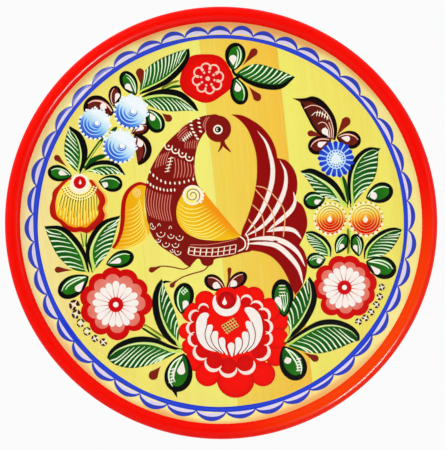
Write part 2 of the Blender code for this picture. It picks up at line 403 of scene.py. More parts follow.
def turned_mesh(name, section, steps, closed=False):
    """Mesh turned about the plate's axis, from a section of (radius, height) points."""
    bm = bmesh.new()
    loops = []
    for radius, height in section:
        if radius < 1e-6:
            loops.append([bm.verts.new(turned_point(0, height, 0))])
            continue
        ring = []
        for step in range(steps):
            ring.append(bm.verts.new(turned_point(radius, height, 2 * pi * step / steps)))
        loops.append(ring)
    pairs = list(zip(loops[:-1], loops[1:]))
    if closed:
        pairs.append((loops[-1], loops[0]))
    for inner, outer in pairs:
        for i in range(steps):
            j = (i + 1) % steps
            if len(inner) == 1:
                bm.faces.new((inner[0], outer[i], outer[j]))
            elif len(outer) == 1:
                bm.faces.new((inner[j], inner[i], outer[0]))
            else:
                bm.faces.new((inner[i], outer[i], outer[j], inner[j]))
    return mesh_from(bm, name)


def linked(name, data):
    obj = bpy.data.objects.new(name, data)
    bpy.context.scene.collection.objects.link(obj)
    return obj


def new_object(name, mesh, body):
    obj = linked(name, mesh)
    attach(obj, body)
    return obj


def smooth(mesh):
    mesh.shade_smooth()
    mesh.set_sharp_from_angle(angle=radians(30))


def cut_board(source, name, low, high):
    """Slice of the turned blank between two seams, closed at both."""
    bm = bmesh.new()
    bm.from_mesh(source)
    normal = Vector((cos(GRAIN_TILT), 0, sin(GRAIN_TILT)))
    for offset, sign in ((low, -1), (high, 1)):
        if abs(offset) > PLATE_RADIUS:
            continue
        edge = (offset - sign * SEAM_WIDTH / 2) * MM
        geometry = bm.verts[:] + bm.edges[:] + bm.faces[:]
        cut = bmesh.ops.bisect_plane(bm, geom=geometry, dist=1e-7, plane_co=normal * edge,
                                     plane_no=normal * sign, clear_outer=True)
        rim = [item for item in cut["geom_cut"] if isinstance(item, bmesh.types.BMEdge)]
        bmesh.ops.edgeloop_fill(bm, edges=rim)
    return mesh_from(bm, name)


BOARD_TONES = (
    # (left edge, right edge) of each board's painted face
    # The first board's pale cream towards its left edge is a painted sheen of the lacquer there
    ((246, 232, 176), (242, 228, 138)),
    ((240, 226, 112), (240, 232, 108)),
    ((240, 228, 110), (240, 238, 116)),
    ((240, 212, 80), (242, 192, 58)),
    ((238, 234, 106), (239, 224, 95)),
    ((238, 228, 100), (238, 231, 98)),
)


def make_boards():
    """Six glued boards, cut from one turned blank."""
    blank = turned_mesh("blank", plate_section(), TURNING_STEPS)
    back = bare_wood("bare_back")
    limits = [-2 * PLATE_RADIUS, *SEAMS, 2 * PLATE_RADIUS]
    for number, (left, right) in enumerate(BOARD_TONES, start=1):
        low, high = limits[number - 1], limits[number]
        name = "board_%d" % number
        mesh = cut_board(blank, name, low, high)
        low, high = max(low, -PLATE_RADIUS), min(high, PLATE_RADIUS)
        mesh.materials.append(wood(name + "_wood", rgb(*left), rgb(*right), low, high))
        mesh.materials.append(back)
        for face in mesh.polygons:
            height = -face.center.y / MM
            behind = height < RECESS_HEIGHT + 0.1 or face.normal.y > 0.3
            face.material_index = 1 if behind else 0
        smooth(mesh)
        board = new_object("plate_" + name, mesh, "plate")
        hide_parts(name)


RED_INNER_RADIUS = 139.1
ENAMEL_LIFT = 0.06
ENAMEL_DEPTH = 0.1


def make_rim():
    """Enamel coat over the rounded rim, down to the back slope, as a closed shell."""
    edge = surface_height(RED_INNER_RADIUS)
    outer = [(RED_INNER_RADIUS, edge + ENAMEL_LIFT / 2)]
    outer += arc(RIM_CENTER, RIM_ROUND + ENAMEL_LIFT, RIM_START, RIM_END_ANGLE, 34)
    inner = arc(RIM_CENTER, RIM_ROUND - ENAMEL_DEPTH, RIM_END_ANGLE, RIM_START, 20)
    inner += [(RED_INNER_RADIUS, edge - ENAMEL_DEPTH)]
    mesh = turned_mesh("rim_enamel", outer + inner, 360, closed=True)
    mesh.materials.append(enamel("rim_enamel"))
    smooth(mesh)
    new_object("rim_enamel", mesh, "plate")


# -------- paint strokes

def curve_through(points, step=0.9, closed=False):
    """Smooth path through 2-D points, sampled about every step mm."""
    if len(points) < 3 and not closed:
        count = max(2, ceil(dist(*points) / step) + 1)
        return [lerp(*points, i / (count - 1)) for i in range(count)]
    knots = [Vector(p) for p in points]
    total = len(knots)
    slopes = []
    for i in range(total):
        if closed:
            before, after = knots[i - 1], knots[(i + 1) % total]
        else:
            before, after = knots[max(i - 1, 0)], knots[min(i + 1, total - 1)]
        slopes.append((after - before).normalized())
    path = []
    for i in range(total if closed else total - 1):
        j = (i + 1) % total
        reach = (knots[j] - knots[i]).length
        count = max(3, ceil(reach / step) + 1)
        piece = interpolate_bezier(knots[i], knots[i] + slopes[i] * reach / 3,
                                   knots[j] - slopes[j] * reach / 3, knots[j], count)
        path += [(p.x, p.y) for p in piece[:-1]]
    if not closed:
        path.append(tuple(points[-1]))
    return path


def resample(path, count):
    """The same path with count points at even distances."""
    lengths = [0.0]
    for a, b in zip(path[:-1], path[1:]):
        lengths.append(lengths[-1] + dist(a, b))
    result = []
    index = 0
    for i in range(count):
        target = lengths[-1] * i / (count - 1)
        while index < len(lengths) - 2 and lengths[index + 1] < target:
            index += 1
        gap = lengths[index + 1] - lengths[index]
        share = (target - lengths[index]) / gap if gap > 1e-9 else 0.0
        result.append(lerp(path[index], path[index + 1], share))
    return result


def path_length(path):
    return sum(dist(a, b) for a, b in zip(path[:-1], path[1:]))


def lerp(a, b, share):
    return (a[0] + (b[0] - a[0]) * share, a[1] + (b[1] - a[1]) * share)


def polar(center, radius, angle_deg):
    angle = radians(angle_deg)
    return (center[0] + radius * cos(angle), center[1] + radius * sin(angle))


def sweep(center, radius, start, step, count, shrink=0.0):
    """Points on an arc, or on a spiral that shrinks at each step; angles in degrees."""
    return [polar(center, radius - shrink * k, start + step * k) for k in range(count)]


def circle(center, radius, count):
    return sweep(center, radius, 0, 360 / count, count)


def area(outline):
    total = 0.0
    for (x0, z0), (x1, z1) in zip(outline, outline[1:] + outline[:1]):
        total += x0 * z1 - x1 * z0
    return total / 2


def line_profile(t, length, width):
    """Even line with short pointed ends."""
    taper = min(0.3, 1.2 * width / max(length, 0.01))
    return width * min(1.0, (t / taper) ** 0.6, ((1 - t) / taper) ** 0.6)


def round_head(t, neck, width):
    """Width of a stroke past its neck, where the head rounds off."""
    return width * sqrt(max(0.0, 1 - ((t - neck) / (1 - neck)) ** 2))


def drop_profile(t, length, width):
    """Tail that swells to a round head."""
    neck = max(0.4, 1 - 0.5 * width / max(length, 0.01))
    return width * (t / neck) ** 0.85 if t < neck else round_head(t, neck, width)


def whip_profile(t, length, width):
    """Full at the start, running out to nothing."""
    start = min(1.0, (t * length / max(width * 0.5, 0.01))) ** 0.5
    return width * start * (1 - t) ** 0.6


def crescent_profile(t, length, width):
    return width * max(0.0, sin(pi * t)) ** 0.75


THINNEST = 0.12
STROKE_CROWN = 0.03


class Painting:
    """Strokes of one motif, gathered into one mesh of closed shells on the plate's face."""

    def __init__(self, name):
        self.name = name
        self.verts = []
        self.marks = []
        self.faces = []
        self.paints = []
        self.face_paints = []
        self.strokes = 0

    def vert(self, point, lift, mark):
        x, z = point
        height = surface_height(hypot(x, z)) + lift
        self.verts.append((x * MM, -height * MM, z * MM))
        self.marks.append(mark)
        return len(self.verts) - 1

    def face(self, corners, paint):
        if paint not in self.paints:
            self.paints.append(paint)
        self.faces.append(corners)
        self.face_paints.append(self.paints.index(paint))

    def grid(self, rows, paint, level, tone=0.0, crown=0.02):
        """Closed thin sheet over rows of points; tone is a number or a function of (t, s)."""
        self.strokes += 1
        edge = [row[0] for row in rows] + [row[-1] for row in reversed(rows)]
        flipped = area(edge) > 0
        if flipped:
            rows = [list(reversed(row)) for row in rows]
        many, wide = len(rows), len(rows[0])
        top, under = [], []
        along = self.strokes * 13.7
        for i, row in enumerate(rows):
            t = i / (many - 1)
            middle = row[wide // 2]
            if i:
                before = rows[i - 1][wide // 2]
                along += dist(before, middle)
            width = dist(row[0], row[-1])
            ring = []
            for j, point in enumerate(row):
                s = j / (wide - 1)
                value = tone(t, 1 - s if flipped else s) if callable(tone) else tone
                mark = (along, (s - 0.5) * width + self.strokes * 3.1, value)
                lift = level * LAYER + crown * 4 * s * (1 - s)
                ring.append(self.vert(point, lift, mark))
            top.append(ring)
            mark = (along, self.strokes * 3.1, 0.0)
            under.append((self.vert(row[0], -SINK, mark), self.vert(row[-1], -SINK, mark)))
        for i in range(many - 1):
            (l0, r0), (l1, r1) = under[i], under[i + 1]
            for j in range(wide - 1):
                self.face((top[i][j], top[i][j + 1], top[i + 1][j + 1], top[i + 1][j]), paint)
            self.face((l0, l1, r1, r0), paint)
            self.face((top[i][0], top[i + 1][0], l1, l0), paint)
            self.face((top[i + 1][-1], top[i][-1], r0, r1), paint)
        self.face((*reversed(top[0]), *under[0]), paint)
        self.face((*top[-1], under[-1][1], under[-1][0]), paint)

    def stroke(self, points, width, paint, level, shape=line_profile, tone=0.0, step=0.9,
               smooth_path=True):
        """One brush stroke along a path."""
        path = curve_through(points, step) if smooth_path else points
        length = path_length(path)
        count = max(6, ceil(length / step) + 1)
        path = resample(path, count)
        shares = [i / (count - 1) for i in range(count)]
        if shape in ROUND_HEADED:
            # Closer together towards the head, to keep it round
            shares = [sin(pi / 2 * share) for share in shares]
            path = [along_path(path, share) for share in shares]
        rows = []
        for i, (x, z) in enumerate(path):
            x0, z0 = path[max(i - 1, 0)]
            x1, z1 = path[min(i + 1, count - 1)]
            size = hypot(x1 - x0, z1 - z0) or 1.0
            side = (-(z1 - z0) / size, (x1 - x0) / size)
            half = max(THINNEST, shape(shares[i], length, width)) / 2
            rows.append([(x + side[0] * half, z + side[1] * half), (x, z),
                         (x - side[0] * half, z - side[1] * half)])
        self.grid(rows, paint, level, tone, STROKE_CROWN)

    def loft(self, first, second, paint, level, tone, wide, count=24):
        """Sheet between two edges that run the same way."""
        a = resample(curve_through(first), count)
        b = resample(curve_through(second), count)
        rows = []
        for p, q in zip(a, b):
            if dist(p, q) < THINNEST:
                q = (p[0] + THINNEST, p[1])
            rows.append([lerp(p, q, j / (wide - 1)) for j in range(wide)])
        self.grid(rows, paint, level, tone)

    def disc(self, center, outline, paint, level, tone=0.0, rings=(0.5, 1.0), crown=0.02):
        """Sheet over an outline that is seen whole from its center; tone may take (share,)."""
        self.strokes += 1
        if area(outline) < 0:
            outline = list(reversed(outline))
        count = len(outline)
        shift = self.strokes * 7.3

        def mark(point, share):
            value = tone(share, point) if callable(tone) else tone
            return (point[0] + shift, point[1] + shift, value)

        middle = self.vert(center, level * LAYER + crown, mark(center, 0.0))
        loops = []
        for share in rings:
            lift = level * LAYER + crown * (1 - share ** 2)
            loop = []
            for point in outline:
                place = lerp(center, point, share)
                loop.append(self.vert(place, lift, mark(place, share)))
            loops.append(loop)
        below = [self.vert(p, -SINK, mark(p, 1.0)) for p in outline]
        for i in range(count):
            j = (i + 1) % count
            self.face((middle, loops[0][i], loops[0][j]), paint)
            for inner, outer in zip(loops[:-1], loops[1:]):
                self.face((inner[i], outer[i], outer[j], inner[j]), paint)
            self.face((loops[-1][i], below[i], below[j], loops[-1][j]), paint)
        self.face(tuple(reversed(below)), paint)

    def patch(self, outline, paint, level, tone):
        """Flat sheet over any outline."""
        self.strokes += 1
        if area(outline) < 0:
            outline = list(reversed(outline))
        count = len(outline)
        shift = self.strokes * 7.3
        marks = [(x + shift, z + shift, tone) for x, z in outline]
        top = [self.vert(p, level * LAYER, m) for p, m in zip(outline, marks)]
        below = [self.vert(p, -SINK, m) for p, m in zip(outline, marks)]
        self.face(tuple(top), paint)
        self.face(tuple(reversed(below)), paint)
        for i in range(count):
            j = (i + 1) % count
            self.face((top[i], below[i], below[j], top[j]), paint)

    def dot(self, center, radius, paint, level, tone=0.0, squeeze=1.0, turn=0.0):
        """Round touch of the brush, squeezed across and turned by degrees if asked."""
        count = max(9, min(40, round(radius * 7)))
        right, up = polar((0, 0), 1, turn)
        outline = []
        for x, z in circle((0, 0), radius, count):
            z *= squeeze
            outline.append((center[0] + x * right - z * up, center[1] + x * up + z * right))
        rings = (0.5, 1.0) if radius > 1.5 else (1.0,)
        self.disc(center, outline, paint, level, tone, rings)

    def build(self):
        mesh = bpy.data.meshes.new(self.name)
        mesh.from_pydata(self.verts, [], self.faces)
        marks = mesh.attributes.new("stroke", "FLOAT_VECTOR", "POINT")
        marks.data.foreach_set("vector", [c for mark in self.marks for c in mark])
        for paint in self.paints:
            mesh.materials.append(PAINTS[paint])
        mesh.polygons.foreach_set("material_index", self.face_paints)
        mesh.update()
        new_object(self.name, mesh, "plate")


# -------- border

BORDER_CENTER = (-0.25, -0.1)
BORDER_RADIUS = 129.5
BORDER_HALF_WIDTH = 1.5
CREST_RADIUS = 134.6
SCALLOPS = 43


def scallop_end(i):
    """Angle where one scallop meets the next; the hand's spacing drifts round the ring."""
    angle = 6 + 360 / SCALLOPS * i
    a = radians(angle)
    drift = 3.7 * cos(a) + 1.5 * sin(2 * a) - 1.3 * cos(3 * a) - 2.4
    return angle + drift + 0.3 * (sin(a) + cos(2 * a) + sin(3 * a))


def border_radius(angle):
    """Radius of the hand-drawn blue ring, a little taller than wide."""
    return BORDER_RADIUS - 0.4 * cos(radians(2 * angle))


def make_border():
    """Blue ring with a scalloped edge outside it."""
    paint = Painting("border_ring")

    def rim_point(angle, j):
        half = BORDER_HALF_WIDTH - 0.2 * cos(radians(angle - 50))
        half += 0.16 * sin(radians(angle * 7))
        half += 0.1 * sin(radians(angle * 17 + 40))
        return polar(BORDER_CENTER, border_radius(angle) + half - j * half / 2, angle)

    # Four overlapping arcs, as the brush was reloaded
    for quarter in range(4):
        strip = [[rim_point(quarter * 90 + 1.2 * k, j) for j in range(5)] for k in range(76)]
        paint.grid(strip, "ring_blue", 2 + quarter % 2, lambda t, s: 0.5 - abs(s - 0.5))
    paint.build()

    paint = Painting("border_scallops")
    for i in range(SCALLOPS):
        start, end = scallop_end(i), scallop_end(i + 1)
        a = radians((start + end) / 2)
        crest = CREST_RADIUS - cos(a) + 0.6 * sin(a) - 0.8 * cos(2 * a)
        crest += 0.5 * sin(i * 3.7) + 1.1 * max(0.0, cos(a + 1.9)) ** 2
        crest += 2.0 * max(0.0, cos(a + 0.2)) ** 12 - 1.4 * max(0.0, cos(a - 2.3)) ** 8
        outer = []
        inner = []
        for k in range(13):
            angle = start + (end - start) * k / 12
            bow = sin(pi * k / 12) ** 0.6
            foot = hypot(*polar(BORDER_CENTER, border_radius(angle) + 1.7, angle))
            outer.append(polar((0, 0), foot + (crest - foot) * bow, angle))
            inner.append(polar((0, 0), foot - 0.4 + (crest - 2.0 - foot) * bow, angle))
        paint.stroke(inner, 3.0, "lilac", 1, crescent_profile, 0.4, smooth_path=False)
        paint.stroke(outer, 2.8, "violet", 3,
                     lambda t, l, w: w * (0.25 + 0.75 * sin(pi * t)), 0.0,
                     smooth_path=False)
    paint.build()


# -------- motif vocabulary

def egg_profile(t, length, width):
    """Pointed at the start, full and round at the end."""
    neck = 0.58
    if t < neck:
        return width * sin(pi / 2 * t / neck) ** 0.74
    return round_head(t, neck, width)


def plume_profile(t, length, width):
    """Thin foot that soon fills out, with a round head."""
    neck = 0.72
    return width * (t / neck) ** 0.6 if t < neck else round_head(t, neck, width)


def petal_profile(t, length, width):
    """Drop without its thin tail."""
    return drop_profile(0.16 + 0.84 * t, length, width)


def bulb_profile(t, length, width):
    """Thin tail and a full round head, as a loaded brush leaves."""
    neck = max(0.4, 1 - 0.6 * width / max(length, 0.01))
    return width * (t / neck) ** 1.35 if t < neck else round_head(t, neck, width)


ROUND_HEADED = (drop_profile, egg_profile, plume_profile, petal_profile, bulb_profile)


def vein_profile(t, length, width):
    """Broad where the brush lands, running out to a hair."""
    return width * min(1.0, t * 9) ** 0.5 * (1 - 0.72 * t)


def along_path(path, share):
    """Point at a share of the way along a path of evenly spaced points."""
    place = max(0.0, min(1.0, share)) * (len(path) - 1)
    index = min(int(place), len(path) - 2)
    return lerp(path[index], path[index + 1], place - index)


def leaf(paint, base, tip, back, front, black, veins=8, lime=1.5, slant=1.15, width=1.2,
         body="green", shade="black"):
    """Leaf with a dark crescent along its back edge, a light rib and light veins."""
    count = 40
    first, last = 0.33, 0.95
    a = resample(curve_through([base, *back, tip]), count)
    b = resample(curve_through([base, *front, tip]), count)
    breadth = [max(0.3, dist(p, q)) for p, q in zip(a, b)]
    axis = path_length([lerp(p, q, 0.5) for p, q in zip(a, b)])

    def inner(t, share):
        return lerp(along_path(a, t), along_path(b, t), share)

    def dark(t):
        return black * (0.35 + 0.65 * sin(pi * min(1.0, t * 0.9 + 0.05)) ** 0.8)

    rows = [[lerp(p, q, j / 4) for j in range(5)] for p, q in zip(a, b)]
    paint.grid(rows, body, 2, lambda t, s: max(0.0, 1 - t * 1.1) * (1 - 0.6 * s))
    rows = []
    ribs = []
    for i, (p, q) in enumerate(zip(a, b)):
        share = max(min(0.6, dark(i / (count - 1)) / breadth[i]), THINNEST / breadth[i])
        rows.append([p, lerp(p, q, share / 2), lerp(p, q, share)])
        ribs.append(lerp(p, q, min(0.75, share + 0.35 * lime / breadth[i])))
    paint.grid(rows, shade, 3)
    if lime:
        paint.stroke(ribs[1:-3], lime, "lime", 4, whip_profile, lambda t, s: t, smooth_path=False)
    slope = 0.55 * slant * max(breadth) / axis
    for i in range(veins):
        t = first + (last - first) * i / (veins - 1)
        run = min(0.7 * t, slope)
        wide = breadth[int((t - run) * (count - 1))]
        near = min(0.7, (dark(t - run) + lime + 0.6) / wide)
        middle = inner(t - 0.42 * run, 1 - 0.54 * (1 - near))
        paint.stroke([along_path(b, t), middle, inner(t - run, near)], width, "vein", 4,
                     vein_profile)


def bud(paint, base, end, width, mark, size, arcs=1, side=1, brown=False, level=2, tail=0.62,
        out=0.28):
    """Closed bud: dark teardrop, coloured inside, with a white drop and arcs on one side."""
    shade, fill, line = ("dark_brown", "brown_fill", "pink") if brown else ("black", "green", "vein")
    length = dist(base, end)
    ahead = ((end[0] - base[0]) / length, (end[1] - base[1]) / length)
    left = (-ahead[1] * side, ahead[0] * side)

    def place(along, across):
        return (base[0] + ahead[0] * along * length + left[0] * across * width,
                base[1] + ahead[1] * along * length + left[1] * across * width)

    paint.stroke([base, end], width, shade, level, egg_profile, step=0.6)
    paint.stroke([place(0.05, 0.0), place(0.5, 0.03), place(0.86, 0.0)], 0.68 * width, fill,
                 level + 1, egg_profile, lambda t, s: 0.2 + 0.7 * t, step=0.6)
    for i in range(arcs):
        far = out * (1 - 0.5 * i)
        paint.stroke([place(0.08, 0.04), place(0.28, 0.75 * far), place(0.52, far),
                      place(0.74 - 0.06 * i, 0.8 * far), place(0.88 - 0.12 * i, 0.3 * far)],
                     0.066 * width, line, level + 2,
                     lambda t, l, w: w * sin(pi * (0.1 + 0.85 * t)) ** 0.5, step=0.6)
    start = lerp(mark, place(0.02, 0.0), tail)
    head = (mark[0] + (mark[0] - start[0]) * 0.3, mark[1] + (mark[1] - start[1]) * 0.3)
    paint.stroke([start, head], 1.15 * size, "white", level + 3, drop_profile, step=0.5)


def drop(paint, tail, head, width, color, level=3, bend=0.0):
    """Single drop-shaped touch of the brush, tail first."""
    middle = lerp(tail, head, 0.5)
    dx, dz = head[0] - tail[0], head[1] - tail[1]
    middle = (middle[0] - dz * bend, middle[1] + dx * bend)
    paint.stroke([tail, middle, head], 1.1 * width, color, level, bulb_profile, step=0.4)


def curl(paint, center, size, turn, thick, tone):
    """Small C-shaped curl with a light cross in it."""
    points = [polar(center, size - thick / 2, turn + a) for a in (25, 85, 145, 205, 265, 330)]
    paint.stroke(points, thick, "dark_brown", 3,
                 lambda t, l, w: w * (0.6 + 0.5 * abs(2 * t - 1)), tone, step=0.5)
    for angle in (turn + 10, turn + 100):
        paint.stroke([polar(center, size, angle), polar(center, size, angle + 180)],
                     0.75, "white", 4, step=0.6)


def rose(paint, center, lobes, lobe_radius, lobe_size, petal_inner, petal_outer, petals, eye,
         turn, lift=0.0):
    """Rose in rings: red lobes, salmon petals, white petals, red eye with a white dot."""
    eye_center = center
    center = (center[0], center[1] + lift)
    paint.disc(center, circle(center, lobe_radius, 48), "red", 1, 0.5)
    for i, angle in enumerate(lobes):
        size = lobe_size * (1 + 0.05 * sin(i * 2.7))
        paint.dot(polar(center, lobe_radius, angle), size, "red", 1 + i % 2,
                  lambda share, p: 0.5 + 0.7 * share)
    for i, angle in enumerate(lobes):
        head = polar(center, lobe_radius + lobe_size * 0.42, angle)
        tail = polar(center, petal_inner * 1.1, angle)
        paint.stroke([tail, head], lobe_size * 1.26, "salmon", 3 + i % 2, drop_profile,
                     lambda t, s: 0.9 * (1 - t) + 0.6 * abs(s - 0.5), step=0.8)
    center = eye_center
    paint.disc(center, circle(center, petal_outer * 0.72, 32), "salmon", 5, 0.4)
    for i in range(petals):
        angle = turn + 360 * i / petals
        long = petal_outer * (1 + 0.04 * sin(i * 1.9))
        tail, head = polar(center, petal_inner, angle), polar(center, long, angle)
        width = 2 * pi * petal_outer / petals * 0.80
        paint.stroke([tail, head], width, "white", 6 + i % 2, petal_profile, 0.3, step=0.7)
    paint.disc(center, circle(center, eye, 28), "deep_red", 8, lambda share, p: 0.5 * (1 - share))
    paint.dot(center, eye * 0.36, "white", 9, 0.5)


# -------- motifs, left half

def paint_bell_flower():
    """Bell-shaped yellow flower with a scalloped red edge, on the left."""
    paint = Painting("left_bell_flower")
    center = (-98.5, 28.2)
    edge = [(-108.5, 32.0), (-112.5, 27.0), (-117.2, 22.0), (-118.0, 16.5), (-119.6, 10.5),
            (-118.2, 4.0), (-112.8, 0.2), (-109.6, -3.4), (-103.4, -6.6), (-98.0, -6.0),
            (-93.6, -7.2), (-88.0, -4.0), (-83.6, -0.6), (-81.0, 5.6), (-82.6, 10.0),
            (-80.6, 14.5), (-81.8, 19.5), (-85.6, 24.0), (-90.0, 30.0)]
    glow = [(x + 1.6, z - 0.2) for x, z in edge]
    paint.disc(center, resample(curve_through(glow), 60), "orange_glow", 0, 0.3)
    paint.disc(center, resample(curve_through(edge), 70), "crimson", 1,
               lambda share, p: max(0.0, 1.6 - 1.6 * share))
    inside = [(-106.0, 30.0), (-110.3, 25.8), (-113.8, 20.5), (-115.2, 15.0), (-115.4, 9.6),
              (-114.0, 4.4), (-110.2, 1.6), (-106.4, -1.6), (-101.6, -3.2), (-97.6, -2.6),
              (-94.2, -3.2), (-90.2, 0.2), (-87.6, 2.6), (-85.4, 7.0), (-86.2, 10.6),
              (-85.0, 14.4), (-86.4, 18.8), (-89.0, 22.6), (-91.0, 28.0)]
    paint.disc(center, resample(curve_through(inside), 60), "amber", 2,
               lambda share, p: 0.042 * (18 - p[1]), rings=(0.25, 0.5, 0.75, 1.0))
    for i in range(14):
        x = i - 7
        top = (center[0] + 1.8 * x, 18.4 + 0.04 * x * x)
        foot = (center[0] - 0.9 + 2.15 * x, -2.4 + 0.2 * x * x)
        paint.stroke([top, lerp(top, foot, 0.5), foot], 0.95, "pale_yellow", 3, step=0.8)
        low = 0.68 + 0.16 * sin(i * 2.6)
        paint.stroke([(top[0] + 0.85, top[1] - 0.5), lerp((top[0] + 0.85, top[1]), foot, low)],
                     0.6, "brown_line", 3, step=0.8)
    for radius, many in ((8.0, 15), (10.0, 17), (12.0, 19)):
        for i in range(many):
            angle = 198 + 144 * i / (many - 1)
            paint.dot(polar(center, radius, angle), 0.72, "pale_yellow", 4, 1.0)
            if i < many - 1:
                angle += 72 / (many - 1)
                paint.dot(polar(center, radius + 0.9, angle), 0.46, "brown_line", 4)
    paint.dot((-98.5, 27.4), 6.8, "cream", 4)
    paint.dot(center, 4.4, "deep_red", 5, 0.2)
    drop(paint, (-98.3, 30.4), (-98.2, 26.9), 1.7, "white", 7)
    for x, color, thick in ((-97.8, "olive", 1.0), (-95.8, "lime", 1.2), (-93.8, "green", 1.0)):
        paint.stroke([(x, -6.5), (x * 0.4 - 56.8, -17.0)], thick, color, 1)
    paint.build()


def paint_left_leaves():
    """Leaves and buds above and below the bell flower."""
    paint = Painting("left_leaves_upper")
    leaf(paint, (-98.3, 34.0), (-105.5, 67.6), [(-94.0, 43.0), (-93.2, 52.0), (-97.4, 62.0)],
         [(-103.6, 38.5), (-108.4, 45.5), (-109.3, 54.0), (-107.8, 61.5)], black=4.4)
    leaf(paint, (-97.0, 34.8), (-66.6, 33.4), [(-90.4, 41.6), (-81.4, 43.8), (-72.4, 41.6)],
         [(-90.6, 35.6), (-82.5, 33.2), (-74.0, 34.2)], veins=7, black=3.2, lime=1.6)
    bud(paint, (-104.0, 32.6), (-120.8, 36.2), 11.4, (-111.8, 35.0), 3.3, side=-1)
    bud(paint, (-85.4, 29.0), (-68.8, 26.4), 11.8, (-80.0, 26.2), 3.6)
    drop(paint, (-107.0, 38.6), (-116.0, 46.8), 3.9, "brown")
    paint.stroke([(-95.6, 37.6), (-89.0, 44.0), (-79.6, 47.4)], 3.4, "green", 1)
    paint.stroke([(-96.2, 38.0), (-91.0, 47.0), (-82.0, 59.6)], 2.4, "green", 1)
    paint.stroke([(-95.2, 39.6), (-90.2, 47.6), (-83.6, 57.0)], 0.9, "lime", 2)
    paint.build()

    paint = Painting("left_leaves_lower")
    leaf(paint, (-91.7, -34.5), (-123.2, -2.2), [(-94.6, -20.5), (-101.8, -9.2),
                                               (-110.8, -2.4)],
         [(-103.0, -32.5), (-113.0, -24.0), (-119.4, -12.5)], black=3.6, lime=1.7)
    leaf(paint, (-90.0, -35.0), (-70.4, 5.2), [(-94.4, -20.0), (-90.6, -7.6), (-82.4, 1.4)],
         [(-85.0, -29.0), (-77.4, -18.6), (-73.6, -6.6)], veins=9, black=3.4, lime=2.6)
    bud(paint, (-80.2, -29.0), (-61.0, -22.4), 12.0, (-71.6, -26.4), 3.4, tail=0.75)
    bud(paint, (-92.4, -37.2), (-113.0, -50.2), 15.0, (-99.8, -45.9), 4.2, arcs=2, side=-1)
    drop(paint, (-103.0, -33.0), (-116.0, -32.6), 4.0, "brown")
    paint.build()


def paint_left_rose():
    """Rose at the lower left, with its row of curls and its stem."""
    paint = Painting("left_rose")
    center = (-73.4, -57.0)
    lobes = (98, 65, 34, 0, -42, -86, -127, -160, 165, 130)
    rose(paint, center, lobes, 17.2, 8.2, 5.2, 16.0, 17, 5.3, turn=5, lift=0.8)
    curls = ((-102.4, -57.2, 4.0, 2.5, 0.9), (-101.0, -63.6, 3.5, 2.1, 0.8),
             (-97.9, -69.8, 3.1, 1.2, 0.2), (-93.4, -75.6, 3.1, 1.2, 0.3),
             (-88.0, -80.6, 2.7, 1.8, 0.6), (-82.1, -83.2, 2.9, 1.9, 1.0))
    for i, (x, z, size, thick, tone) in enumerate(curls):
        curl(paint, (x, z), size, -40 + i * 14, thick, tone)
    paint.stroke([(-54.5, -70.5), (-47.0, -75.0), (-39.0, -80.5)], 1.6, "olive", 1)
    paint.stroke([(-53.0, -71.5), (-46.0, -77.0), (-40.0, -80.5)], 0.8, "lime", 2)
    paint.stroke([(-55.5, -72.9), (-48.0, -77.6), (-41.5, -81.5)], 1.6, "green", 1)
    paint.build()


def paint_left_wing():
    """Yellow wing behind the bird's back."""
    paint = Painting("bird_left_wing")
    outer = [(-52.4, 26.6), (-57.0, 27.2), (-61.8, 24.8), (-65.4, 20.6), (-67.6, 14.0),
             (-68.4, 6.0), (-69.0, -2.0), (-71.2, -9.4), (-74.6, -17.4)]
    right = [(-52.4, 26.4), (-53.6, 16.0), (-53.4, 7.0), (-50.6, -1.0), (-49.8, -6.2),
             (-52.8, -11.5), (-59.2, -16.0), (-66.2, -17.9), (-74.6, -18.2)]
    paint.loft(outer, right, "amber", 1, lambda t, s: 0.62 + 0.14 * t - 0.2 * s, wide=6)
    paint.stroke([(-51.8, 26.3), (-56.6, 27.5), (-61.6, 25.3), (-65.4, 21.2), (-67.6, 15.9),
                  (-68.4, 8.9), (-68.7, 1.4), (-69.9, -6.2), (-72.4, -13.1), (-75.4, -17.6)],
                 3.1, "crimson", 3,
                 lambda t, l, w: w * (0.3 + 0.7 * sin(pi * (0.06 + 0.84 * t)) ** 0.7),
                 0.0)
    center = (-59.2, 21.2)
    paint.stroke(sweep(center, 3.3, 250, 36, 24, 0.13), 0.42, "pale_yellow", 5, tone=0.8,
                 step=0.5)
    starts = resample(curve_through([(-57.0, 18.4), (-55.4, 12.4), (-54.0, 5.4), (-52.0, -1.0),
                                     (-51.0, -6.6)]), 13)
    ends = resample(curve_through([(-65.8, 8.6), (-67.2, 0.6), (-69.2, -7.0), (-72.4, -14.0),
                                   (-71.0, -17.4), (-62.6, -17.0)]), 13)
    for start, end in zip(starts, ends):
        dx, dz = end[0] - start[0], end[1] - start[1]
        paint.stroke([start, (start[0] + 0.28 * dx - 0.22 * dz, start[1] + 0.28 * dz + 0.22 * dx),
                      (start[0] + 0.68 * dx - 0.2 * dz, start[1] + 0.68 * dz + 0.2 * dx), end],
                     0.65, "pale_yellow", 3, crescent_profile)
    paint.build()


